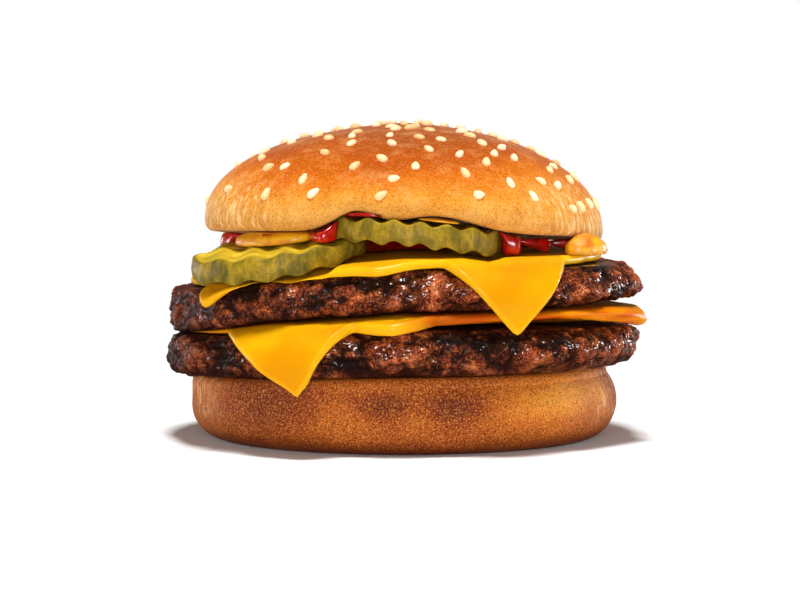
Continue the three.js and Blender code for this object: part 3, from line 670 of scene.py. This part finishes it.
def clear_of_pickles(x, y, z):
    """Height z pushed up to just above the pickles."""
    for pickle in PICKLES:
        top = pickle_top(pickle, x, y) + pickle_wave(pickle, x) + LAYER_GAP
        inside = pickle_distance(pickle, x, y) < pickle["radius"] + PICKLE_MARGIN
        z = np.where(inside, np.maximum(z, top), z)
    return z


def make_crown():
    angles = even_angles(COLUMNS["crown"])[None, :]
    inset, side_height = CROWN["edge_inset"], CROWN["side_height"]
    shares = np.concatenate([np.linspace(0.12, 0.56, 12), np.linspace(0.6, 1, 20)])[:, None]
    under_radius = shares * (CROWN["radius"] - inset) + 0 * angles
    x = under_radius * np.cos(angles)
    y = under_radius * np.sin(angles)
    under = polar(angles, under_radius, crown_underside(x, y))
    turns = np.radians(np.linspace(0, 90, 15))[1:-1, None]
    rim = dome_point(angles, np.zeros((1, 1)))
    rim_radius = np.hypot(rim[..., 0], rim[..., 1])
    start_height = under[-1:, :, 2]
    free_height = rim[..., 2] - side_height * np.cos(turns)
    held_height = start_height + side_height * (1 - np.cos(turns))
    height = mix(free_height, held_height, (1 - np.sin(turns)) ** 2)
    edge = polar(angles, rim_radius - inset * (1 - np.sin(turns)), height)
    climbs = np.radians(np.linspace(0, 90, 100)[:-1])[:, None]
    dome = dome_point(angles, climbs)
    rings = np.concatenate([under, edge, dome])
    x, y, z = np.moveaxis(rings, -1, 0)
    rings[..., 2] = clear_of_pickles(x, y, z)
    plane = crown_plane(x, y)
    share = (rings[..., 2] - plane) / (CROWN["top"] - plane)
    dents = 0.16 * layered_lumps(x, y, z, 9, 81, 3)
    rings = rings + outward(rings) * (dents * smooth_step(0.02, 0.1, share))[..., None]
    # Lower left and right sides: wrinkles there are painted pale, partly paler crust and partly
    # painted rim light.
    creased = smooth_step(0.5, 0.85, np.abs(np.cos(angles))) * smooth_step(0.6, 0.25, share)
    return ring_body("crown", rings, dict(share=share, creased=creased))


# ---- sesame seeds ----


def seeded_sequence(seed):
    """The CAD source's repeatable numbers from 0 to 1."""
    state = seed
    while True:
        state = wrap32(state + 0x6D2B79F5)
        value = wrap32((state ^ (state >> 15)) * (1 | state))
        value = wrap32(value + wrap32((value ^ (value >> 7)) * (61 | value))) ^ value
        yield (value ^ (value >> 14)) / 2**32


def seed_places():
    """Where the CAD's seeds lie: thrown one by one, kept where they clear the others."""
    draw = seeded_sequence(77)
    places = []
    points = np.zeros((0, 3))
    for _ in range(SEED["throws"]):
        if len(places) == SEED["count"]:
            break
        angle = math.radians(360 * next(draw) - 180)
        climb = math.radians(SEED["lowest"] + SEED["climb"] * next(draw))
        turn = math.pi * next(draw)
        chance = next(draw)
        point = dome_point(np.float64(angle), np.float64(climb))
        share = math.hypot(point[0], point[1]) / CROWN["radius"]
        gaps = np.linalg.norm(points - point, axis=1)
        clear = len(points) == 0 or gaps.min() > mix(*SEED["spacing"], share)
        if clear and chance < mix(1, 0.35, share) * share + 0.15:
            places.append((angle, climb, turn))
            points = np.vstack([points, point])
    return places


def seed_points(angle, climb, turn, scale):
    """Points of one seed: a flattened teardrop lying on the dome."""
    step = 0.02
    here = dome_point(np.float64(angle), np.float64(climb))
    around = dome_point(np.float64(angle + step), np.float64(climb)) - here
    upward = here - dome_point(np.float64(angle), np.float64(climb - step))
    normal = np.cross(around, upward)
    normal /= np.linalg.norm(normal)
    around /= np.linalg.norm(around)
    other = np.cross(normal, around)
    along = around * math.cos(turn) + other * math.sin(turn)
    across = np.cross(normal, along)
    columns = np.radians(np.arange(0, 360, 22.5))[None, :]
    lifts = np.radians(np.linspace(-60, 80, 9))[:, None]
    lengthwise = np.cos(columns) * np.cos(lifts)
    taper = 1 - 0.3 * np.cos(columns)
    sideways = np.sin(columns) * taper * np.cos(lifts)
    level = 0.42 + 0.58 * np.sin(lifts) + 0 * columns
    local = [
        lengthwise * SEED["length"] / 2 * SEED["shown"][0] * scale[0],
        sideways * SEED["width"] / 2 * SEED["shown"][1] * scale[1],
        level * SEED["height"] * scale[2] - SEED["sunk"],
    ]
    return (
        here
        + local[0][..., None] * along
        + local[1][..., None] * across
        + local[2][..., None] * normal
    )


def make_sesame():
    draw = seeded_sequence(5)
    points, faces, tone = [], [], []
    count = 0
    for angle, climb, turn in seed_places():
        scale = [mix(0.88, 1.1, next(draw)) for _ in range(3)]
        rings = seed_points(angle, climb, turn, scale)
        rows, columns = rings.shape[:2]
        ends = np.array([rings[0].mean(axis=0), rings[-1].mean(axis=0)])
        one = np.concatenate([ends, rings.reshape(-1, 3)])
        points.append(one)
        faces += [tuple(i + count for i in face) for face in ring_faces(rows, columns)]
        tone.append(np.full(len(one), next(draw)))
        count += len(one)
    return make_mesh("sesame", np.concatenate(points), faces, dict(tone=np.concatenate(tone)))


# ---- sauces ----


def support_top(x, y):
    """Highest thing a sauce can rest on at a place."""
    height = upper_cheese_top(x) + 0 * y
    for pickle in PICKLES:
        inside = pickle_distance(pickle, x, y) < pickle["radius"] + PICKLE_MARGIN
        top = pickle_top(pickle, x, y) + pickle["wave_height"]
        height = np.where(inside, np.maximum(height, top), height)
    return height


def make_ketchup():
    angles = even_angles(COLUMNS["ketchup"])[None, :]
    degrees = np.degrees(angles)
    base = mix(KETCHUP["rear_radius"], KETCHUP["edge_radius"], (1 - np.sin(angles)) / 2)
    reach = 0
    extra = 0
    for lobe in KETCHUP["lobes"]:
        share = corner_share(lobe, degrees)
        reach = np.maximum(reach, lobe["reach"] * share)
        extra = np.maximum(extra, lobe["depth"] * share)
    outline = base + reach
    outline = outline + 0.4 * lumps(
        outline * np.cos(angles), outline * np.sin(angles), 0, 5, 91
    )

    def heights(radius):
        x = radius * np.cos(angles)
        y = radius * np.sin(angles)
        rim = smooth_step(CROWN["radius"] - 5, CROWN["radius"] + 1, radius)
        inside = 1 - smooth_step(34, 42, radius)
        top = crown_underside(x, y) - LAYER_GAP - 1.5 * inside - 1.2 * rim
        mound = KETCHUP["mound"]
        away = np.hypot(x - mound["centre"][0], y - mound["centre"][1]) / mound["radius"]
        heap = mound["depth"] * (1 - smooth_step(0.6, 1, away))
        wanted = top - KETCHUP["thickness"] - heap - extra * smooth_step(34, 43, radius)
        bottom = np.maximum(wanted, support_top(x, y) + LAYER_GAP)
        return np.minimum(bottom, top - KETCHUP["thinnest"]), top

    shares = np.concatenate([[0.1, 0.2, 0.3, 0.4, 0.5, 0.6], np.linspace(0.7, 1, 24)])[:, None]
    inset = KETCHUP["edge_inset"]
    radius = shares * (outline - inset)
    low, high = heights(radius)
    edge_low, edge_high = low[-1:], high[-1:]
    turn = np.radians(np.linspace(-90, 90, 13))[1:-1, None]
    round_radius = outline - inset + KETCHUP["bulge"] * np.cos(turn)
    round_height = mix(edge_low, edge_high, 0.5 + 0.5 * np.sin(turn))
    rings = np.concatenate(
        [
            polar(angles, radius, low),
            polar(angles, round_radius, round_height),
            polar(angles, radius[::-1], high[::-1]),
        ]
    )
    return ring_body("ketchup_sauce", rings, {})


def make_dab(name, dab, grow=0):
    """A dab of sauce. grow is the clearance added all round when it is used as a cutter."""
    angles = even_angles(COLUMNS["dab"])[None, :]
    tilt = math.radians(dab["turn"])

    def spot_at(share):
        along = (dab["size"][0] + grow) * share * np.cos(angles)
        across = (dab["size"][1] + grow) * share * np.sin(angles)
        x = dab["centre"][0] + along * math.cos(tilt) - across * math.sin(tilt)
        y = dab["centre"][1] + along * math.sin(tilt) + across * math.cos(tilt)
        low = support_top(x, y) + LAYER_GAP - dab["drop"] * share
        swell = dab["height"] * (1 - 0.55 * share * share)
        squeezed_out = 2 * smooth_step(45, 48, np.hypot(x, y))
        ceiling = crown_underside(x, y) - LAYER_GAP + squeezed_out
        high = np.maximum(low + 0.3, np.minimum(low + swell, ceiling))
        return x, y, low - grow, high + grow

    shares = np.linspace(0.05, 0.93, 16)[:, None]
    x, y, low, high = spot_at(shares)
    lower = np.stack([x, y, low], axis=-1)
    upper = np.stack([x, y, high], axis=-1)[::-1]
    turn = np.radians(np.linspace(-90, 90, 11))[1:-1, None]
    x, y, low, high = spot_at(0.93 + 0.07 * np.cos(turn))
    edge = np.stack([x, y, mix(low, high, 0.5 + 0.5 * np.sin(turn))], axis=-1)
    return ring_body(name, np.concatenate([lower, edge, upper]), {})


def cut_away(piece, cutters):
    """Cuts the grown neighbours out of a piece, as the CAD does."""
    for cutter in cutters:
        modifier = piece.modifiers.new("cut", "BOOLEAN")
        modifier.operation = "DIFFERENCE"
        modifier.solver = "MANIFOLD"
        modifier.object = cutter
    graph = bpy.context.evaluated_depsgraph_get()
    mesh = bpy.data.meshes.new_from_object(piece.evaluated_get(graph))
    piece.modifiers.clear()
    piece.data = mesh
    mesh.shade_smooth()


# ---- materials ----


def linear(channel):
    share = channel / 255
    if share <= 0.04045:
        return share / 12.92
    return ((share + 0.055) / 1.055) ** 2.4


def colour(red, green, blue):
    return (linear(red), linear(green), linear(blue), 1)


class Finish:
    """A procedural material, with short calls for its nodes. Lengths are in millimetres."""

    def __init__(self, name, **constants):
        self.material = bpy.data.materials.new(name)
        self.material.use_nodes = True
        self.tree = self.material.node_tree
        self.shader = self.tree.nodes["Principled BSDF"]
        self.set(**constants)
        place = self.add("TexCoord").outputs["Object"]
        scaled = self.add("VectorMath", operation="SCALE")
        self.put(scaled.inputs[0], place)
        scaled.inputs["Scale"].default_value = 1 / MM
        self.place = scaled.outputs[0]

    def add(self, kind, **settings):
        node = self.tree.nodes.new("ShaderNode" + kind)
        for key, value in settings.items():
            setattr(node, key, value)
        return node

    def put(self, socket, value):
        if isinstance(value, bpy.types.NodeSocket):
            self.tree.links.new(value, socket)
        else:
            socket.default_value = value

    def set(self, **values):
        for key, value in values.items():
            self.put(self.shader.inputs[key.replace("_", " ")], value)

    def mask(self, name):
        return self.add("Attribute", attribute_name=name).outputs["Fac"]

    def stretched(self, scale):
        node = self.add("VectorMath", operation="MULTIPLY")
        self.put(node.inputs[0], self.place)
        node.inputs[1].default_value = scale
        return node.outputs[0]

    def noise(self, size, detail=3, roughness=0.55, distortion=0, place=None):
        node = self.add("TexNoise")
        self.put(node.inputs["Vector"], place or self.place)
        node.inputs["Scale"].default_value = 1 / size
        node.inputs["Detail"].default_value = detail
        node.inputs["Roughness"].default_value = roughness
        node.inputs["Distortion"].default_value = distortion
        return node.outputs["Fac"]

    def span(self, value, low, high, to_low=0.0, to_high=1.0):
        node = self.add("MapRange", clamp=True)
        for key, number in zip(("Value", "From Min", "From Max", "To Min", "To Max"),
                               (value, low, high, to_low, to_high)):
            self.put(node.inputs[key], number)
        return node.outputs["Result"]

    def maths(self, operation, a, b):
        node = self.add("Math", operation=operation)
        self.put(node.inputs[0], a)
        self.put(node.inputs[1], b)
        return node.outputs[0]

    def blend(self, share, a, b):
        node = self.add("Mix", data_type="RGBA")
        self.put(node.inputs["Factor"], share)
        self.put(node.inputs["A"], a)
        self.put(node.inputs["B"], b)
        return node.outputs["Result"]

    def ramp(self, value, *stops):
        node = self.add("ValToRGB")
        elements = node.color_ramp.elements
        while len(elements) < len(stops):
            elements.new(0.5)
        for element, (position, tint) in zip(elements, stops):
            element.position = position
            element.color = tint
        self.put(node.inputs["Fac"], value)
        return node.outputs["Color"]

    def bump(self, height, distance, below=None):
        node = self.add("Bump")
        self.put(node.inputs["Height"], height)
        node.inputs["Distance"].default_value = distance * MM
        node.inputs["Strength"].default_value = 1
        if below is not None:
            self.put(node.inputs["Normal"], below)
        return node.outputs["Normal"]


def beef_finish():
    f = Finish("beef", Roughness=0.5, Specular_IOR_Level=0.06, Coat_Roughness=0.1)
    grit = f.noise(0.5, 2, 0.75)
    fine = f.noise(0.9, 3, 0.7)
    meat = f.ramp(
        f.noise(3.2, 4, 0.7, 0.6),
        (0.32, colour(34, 8, 5)), (0.45, colour(88, 30, 12)),
        (0.56, colour(146, 62, 27)), (0.68, colour(206, 116, 60)),
    )
    specks = f.blend(f.span(grit, 0.38, 0.48, 0.95, 0), meat, colour(22, 7, 4))
    specks = f.blend(f.span(grit, 0.57, 0.68, 0, 0.5), specks, colour(210, 140, 94))
    # Painted light on the nugget tops, then painted shade in the crevices between them.
    specks = f.blend(f.span(f.mask("groove"), 0.22, 0.4, 0.4, 0), specks, colour(196, 110, 66))
    grooved = f.blend(f.span(f.mask("groove"), 0.45, 0.68, 0, 0.95), specks, colour(20, 6, 3))
    charred = f.maths("ADD", f.mask("char"), f.span(fine, 0.3, 0.7, -0.2, 0.2))
    burnt = f.span(charred, 0.16, 0.36, 0, 0.9)
    base = f.blend(burnt, grooved, colour(20, 7, 4))
    # Painted shade: the left ends of the patties are darkened.
    ends = f.span(f.mask("leftward"), 0.7, 0.95)
    base = f.blend(f.maths("MULTIPLY", ends, 0.65), base, colour(46, 14, 9))
    # Painted shade: darker towards the downward-facing lower band of the edge.
    low = f.span(f.mask("turn"), -75, -25, 0.75, 0)
    f.set(Base_Color=f.blend(low, base, colour(44, 15, 9)))
    grease = f.maths("ADD", f.mask("wet"), f.span(f.noise(1.6, 2), 0.35, 0.65, -0.35, 0.35))
    dry = f.maths("MULTIPLY", f.span(burnt, 0, 1, 1, 0.35), f.span(ends, 0, 1, 1, 0.3))
    f.set(Coat_Weight=f.maths("MULTIPLY", f.span(grease, 0.1, 0.4, 0.04, 1), dry))
    f.set(Normal=f.bump(grit, 0.2, f.bump(f.noise(1.5, 2), 0.35)))
    return f.material


def cheese_finish():
    f = Finish(
        "cheese", Roughness=0.34, Specular_IOR_Level=0.06, Subsurface_Weight=0.12,
        Subsurface_Radius=(0.003, 0.0012, 0.0003), Subsurface_Scale=1.0, Coat_Roughness=0.15,
    )
    tint = f.ramp(
        f.noise(14, 2, 0.5),
        (0.35, colour(197, 128, 3)), (0.55, colour(203, 143, 4)), (0.7, colour(212, 156, 8)),
    )
    # Painted highlight: lighter yellow along the slice's rim.
    tint = f.blend(f.span(f.mask("edge"), 0.7, 1, 0, 0.4), tint, colour(246, 180, 24))
    # Painted light: the top of the bend, where the slice comes out from under what lies on it, is
    # lightened against the shade there.
    near = f.span(f.mask("past"), 1, 6, 0.6, 0)
    tint = f.blend(near, tint, colour(240, 178, 14))
    streaks = f.noise(3.2, 2, 0.5, 0, f.stretched((0.25, 0.25, 2.2)))
    # Juice orange that also serves as painted shade under the patty.
    juice = f.blend(f.span(streaks, 0.35, 0.65), colour(180, 72, 4), colour(208, 122, 4))
    tint = f.blend(f.mask("soaked"), tint, juice)
    # Painted shade: a darker orange spot on the lower slice under the upper patty.
    tint = f.blend(f.span(f.mask("stained"), 0.1, 0.7, 0, 0.85), tint, colour(160, 58, 8))
    f.set(Coat_Weight=f.span(f.mask("soaked"), 0, 0.5, 0.15, 0))
    f.set(Base_Color=tint, Normal=f.bump(f.noise(2.2, 2), 0.06))
    return f.material


def pickle_finish():
    f = Finish(
        "pickle", Roughness=0.45, Specular_IOR_Level=0.12, Subsurface_Weight=0.05,
        Subsurface_Radius=(0.002, 0.002, 0.0005), Subsurface_Scale=1.0,
    )
    flesh = f.ramp(
        f.noise(5, 3, 0.6),
        (0.35, colour(160, 132, 20)), (0.55, colour(200, 168, 34)), (0.7, colour(222, 196, 66)),
    )
    streaks = f.noise(3.4, 4, 0.6, 0.3, f.stretched((1.3, 1.3, 0.7)))
    skin = f.ramp(
        streaks,
        (0.32, colour(88, 78, 18)), (0.48, colour(120, 100, 22)), (0.66, colour(162, 130, 28)),
    )
    fine = f.span(f.noise(0.5, 2, 0.6), 0.35, 0.6, 0.3, 0)
    skin = f.blend(fine, skin, colour(52, 44, 12))
    f.set(Base_Color=f.blend(f.span(f.mask("rim"), 0.4, 1.1), skin, flesh))
    f.set(Normal=f.bump(f.noise(1.2, 3), 0.12))
    return f.material


def crown_finish():
    f = Finish(
        "bun_crust", Roughness=0.6, Specular_IOR_Level=0.03, Sheen_Weight=0.12,
        Sheen_Roughness=0.25, Sheen_Tint=(1, 0.88, 0.7, 1),
    )
    share = f.mask("share")
    wandering = f.maths("ADD", share, f.span(f.noise(16, 3, 0.5), 0.3, 0.7, -0.1, 0.1))
    crust = f.ramp(
        wandering,
        (0.0, colour(194, 132, 58)), (0.15, colour(202, 144, 64)), (0.34, colour(206, 132, 40)),
        (0.55, colour(192, 98, 12)), (0.72, colour(170, 74, 6)), (0.9, colour(156, 70, 14)),
    )
    pores = f.noise(0.45, 2, 0.7)
    crust = f.blend(f.span(pores, 0.36, 0.46, 0.45, 0), crust, colour(120, 46, 10))
    crust = f.blend(f.span(pores, 0.56, 0.68, 0, 0.3), crust, colour(244, 196, 120))
    scuffs = f.noise(5, 4, 0.7)
    crust = f.blend(f.span(scuffs, 0.5, 0.72, 0, 0.3), crust, colour(236, 180, 110))
    crust = f.blend(f.span(scuffs, 0.3, 0.46, 0.3, 0), crust, colour(150, 60, 8))
    # Wrinkles on the lower left and right sides, painted pale: partly paler crust, partly painted
    # rim light.
    creases = f.noise(1.3, 3, 0.65, 0.3, f.stretched((1, 1, 0.25)))
    pale = f.maths("MULTIPLY", f.span(creases, 0.5, 0.66, 0, 0.65), f.mask("creased"))
    crust = f.blend(pale, crust, colour(250, 212, 158))
    wrinkled = f.maths("MULTIPLY", creases, f.mask("creased"))
    f.set(Base_Color=crust, Normal=f.bump(pores, 0.08, f.bump(wrinkled, 0.3)))
    return f.material


def heel_finish():
    f = Finish("heel_crust", Roughness=0.6, Specular_IOR_Level=0.12)
    height = f.mask("height")
    # Ramp on the pale mask: partly paler crust, partly painted highlights.
    patches = f.ramp(
        f.span(f.mask("pale"), -0.6, 1.2),
        (0.0, colour(86, 30, 8)), (0.33, colour(132, 56, 13)),
        (0.66, colour(188, 102, 28)), (1.0, colour(240, 162, 60)),
    )
    grain = f.noise(0.36, 2, 0.8)
    speckle = f.blend(f.span(grain, 0.38, 0.47, 0.9, 0), patches, colour(78, 24, 5))
    speckle = f.blend(f.span(grain, 0.55, 0.63, 0, 0.7), speckle, colour(222, 140, 62))
    # Wrinkles on the left and right sides, painted pale: partly paler crust, partly painted rim
    # light.
    creases = f.noise(1.1, 3, 0.6, 0.3, f.stretched((1, 1, 0.25)))
    pale = f.maths("MULTIPLY", f.span(creases, 0.5, 0.65, 0, 0.6), f.mask("creased"))
    speckle = f.blend(pale, speckle, colour(240, 184, 124))
    # Painted shade: darker towards the foot, where the heel meets the floor.
    foot = f.span(height, 0.3, 4.0, 0.6, 0)
    f.set(Base_Color=f.blend(foot, speckle, colour(70, 22, 8)))
    f.set(Normal=f.bump(grain, 0.2))
    return f.material


def sesame_finish():
    f = Finish("sesame", Roughness=0.4, Specular_IOR_Level=0.2)
    tone = f.ramp(
        f.mask("tone"),
        (0.0, colour(250, 222, 188)), (0.6, colour(244, 206, 158)), (1.0, colour(230, 182, 122)),
    )
    stain = f.span(f.noise(1.2, 2), 0.4, 0.7, 0, 0.3)
    f.set(Base_Color=f.blend(stain, tone, colour(226, 186, 118)))
    return f.material


def sauce_finish(name, dark, light, streak, roughness):
    f = Finish(name, Roughness=roughness, Coat_Weight=0.2, Coat_Roughness=0.08)
    share = f.span(f.noise(4.5, 2, 0.5, 0.3), 0.32, 0.5)
    sauce = f.blend(share, colour(*dark), colour(*light))
    streaks = f.noise(2.6, 2, 0.5, 0.2, f.stretched((0.4, 0.4, 1.6)))
    f.set(Base_Color=f.blend(f.span(streaks, 0.46, 0.62, 0, 0.55), sauce, colour(*streak)))
    f.set(Normal=f.bump(f.noise(3, 1), 0.15))
    return f.material


# ---- the burger ----


def dress(piece, node, material):
    piece.data.materials.clear()
    piece.data.materials.append(material)
    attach(piece, "root")
    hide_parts(node)


beef = beef_finish()
cheese = cheese_finish()
pickle = pickle_finish()
sauces = dict(
    ketchup=sauce_finish("ketchup", (92, 5, 4), (172, 16, 9), (120, 8, 5), 0.25),
    mustard=sauce_finish("mustard", (190, 98, 6), (222, 160, 8), (192, 88, 8), 0.5),
)

pickle_cutters = [make_pickle("cutter", one, grow=LAYER_GAP) for one in PICKLES]
dab_cutters = [make_dab("cutter", dab, grow=LAYER_GAP) for dab in DABS.values()]

dress(make_heel(), "bun_heel", heel_finish())
dress(make_patty("patty_low", LOWER_PATTY), "patty_lower", beef)
dress(
    make_cheese("cheese_low", LOWER_CHEESE, LOWER_PATTY, lower_cheese_ceiling, 201),
    "cheese_lower", cheese,
)
dress(make_patty("patty_high", UPPER_PATTY), "patty_upper", beef)
slice_high = make_cheese("cheese_high", UPPER_CHEESE, UPPER_PATTY, upper_cheese_ceiling, 211)
cut_away(slice_high, pickle_cutters)
dress(slice_high, "cheese_upper", cheese)
slice_left = make_pickle("pickle_slice_left", LEFT_PICKLE, seed=221)
cut_away(slice_left, pickle_cutters[1:])
dress(slice_left, "pickle_left", pickle)
dress(make_pickle("pickle_slice_right", RIGHT_PICKLE, seed=231), "pickle_right", pickle)
crown = make_crown()
cut_away(crown, dab_cutters[2:])
dress(crown, "bun_crown", crown_finish())
dress(make_sesame(), "bun_crown", sesame_finish())
sauce = make_ketchup()
cut_away(sauce, pickle_cutters + dab_cutters)
dress(sauce, "ketchup", sauces["ketchup"])
for name, dab in DABS.items():
    piece = make_dab(name + "_dab", dab)
    cut_away(piece, pickle_cutters)
    slot = name.split("_")[0]
    dress(piece, name, sauces[slot])
for cutter in pickle_cutters + dab_cutters:
    bpy.data.objects.remove(cutter)

# ---- floor, lights and camera ----

AMBIENT = dict(front=0.02, back=0.06)
REFLECTED = dict(front=0.03, back=0.15)
CAMERA = dict(
    lens=135, sensor=36, distance=705, elevation=3.5, look_at=(-0.75, 0.48, 31.8),
)
# Each light's place, size and power.
LIGHTS = dict(
    key=((0, -255, 1250), (280, 280), 19.6),
    front=((-20, -730, 95), (290, 140), 3.7),
    left=((-430, 0, 35), (120, 70), 0.5),
    right=((430, -60, 35), (120, 70), 0.6),
    rim_left=((-400, 330, 60), (120, 110), 0.45),
    rim_right=((400, 330, 65), (120, 110), 0.7),
)
LIGHT_AIM = (0, 0, 35)
FLOOR = dict(side=900, centre=(0, -200, 0), white=0.95)


def make_floor():
    """A white table top; the white backdrop of the studio goes on behind it."""
    centre = Vector(FLOOR["centre"]) * MM
    bpy.ops.mesh.primitive_plane_add(size=FLOOR["side"] * MM, location=centre)
    floor = bpy.context.object
    floor.name = "floor"
    white = (*[FLOOR["white"]] * 3, 1)
    f = Finish("floor_white", Base_Color=white, Roughness=0.9, Specular_IOR_Level=0.0)
    floor.data.materials.append(f.material)
    floor.visible_glossy = False


def add_light(name, place, size, power):
    """A soft rectangular light, in millimetres and watts."""
    data = bpy.data.lights.new(name, "AREA")
    data.shape = "RECTANGLE"
    data.size, data.size_y = size[0] * MM, size[1] * MM
    data.energy = power
    light = bpy.data.objects.new(name, data)
    light.location = Vector(place) * MM
    direction = (Vector(LIGHT_AIM) - Vector(place)).normalized()
    light.rotation_euler = direction.to_track_quat("-Z", "Y").to_euler()
    bpy.context.scene.collection.objects.link(light)


def make_world():
    """White behind the burger, and on it an even light that is stronger from behind. Its
    reflections show only the bright backdrop."""
    world = bpy.data.worlds.new("studio")
    world.use_nodes = True
    tree = world.node_tree

    def node(kind, **inputs):
        made = tree.nodes.new("ShaderNode" + kind)
        for key, value in inputs.items():
            socket = made.inputs[key.replace("_", " ")]
            if isinstance(value, bpy.types.NodeSocket):
                tree.links.new(value, socket)
            else:
                socket.default_value = value
        return made.outputs

    away = node("SeparateXYZ", Vector=node("TexCoord")["Generated"])["Y"]
    even = node(
        "MapRange", Value=away, From_Min=-0.2, From_Max=0.7,
        To_Min=AMBIENT["front"], To_Max=AMBIENT["back"],
    )["Result"]
    shine = node(
        "MapRange", Value=away, From_Min=0.55, From_Max=0.95,
        To_Min=REFLECTED["front"], To_Max=REFLECTED["back"],
    )["Result"]
    rays = node("LightPath")
    seen = node("MapRange", Value=rays["Is Glossy Ray"], To_Min=even, To_Max=shine)["Result"]
    strength = node("MapRange", Value=rays["Is Camera Ray"], To_Min=seen, To_Max=1.0)["Result"]
    background = tree.nodes["Background"]
    background.inputs["Color"].default_value = (1, 1, 1, 1)
    tree.links.new(strength, background.inputs["Strength"])
    bpy.context.scene.world = world


def make_camera():
    data = bpy.data.cameras.new("camera")
    data.lens = CAMERA["lens"]
    data.sensor_width = CAMERA["sensor"]
    camera = bpy.data.objects.new("camera", data)
    tilt = math.radians(CAMERA["elevation"])
    back = Vector((0, -math.cos(tilt), math.sin(tilt))) * CAMERA["distance"]
    camera.location = (Vector(CAMERA["look_at"]) + back) * MM
    camera.rotation_euler = (math.radians(90) - tilt, 0, 0)
    bpy.context.scene.collection.objects.link(camera)
    bpy.context.scene.camera = camera


make_floor()
make_world()
make_camera()
for name, light in LIGHTS.items():
    add_light(name, *light)
bpy.context.scene.view_settings.view_transform = "Standard"
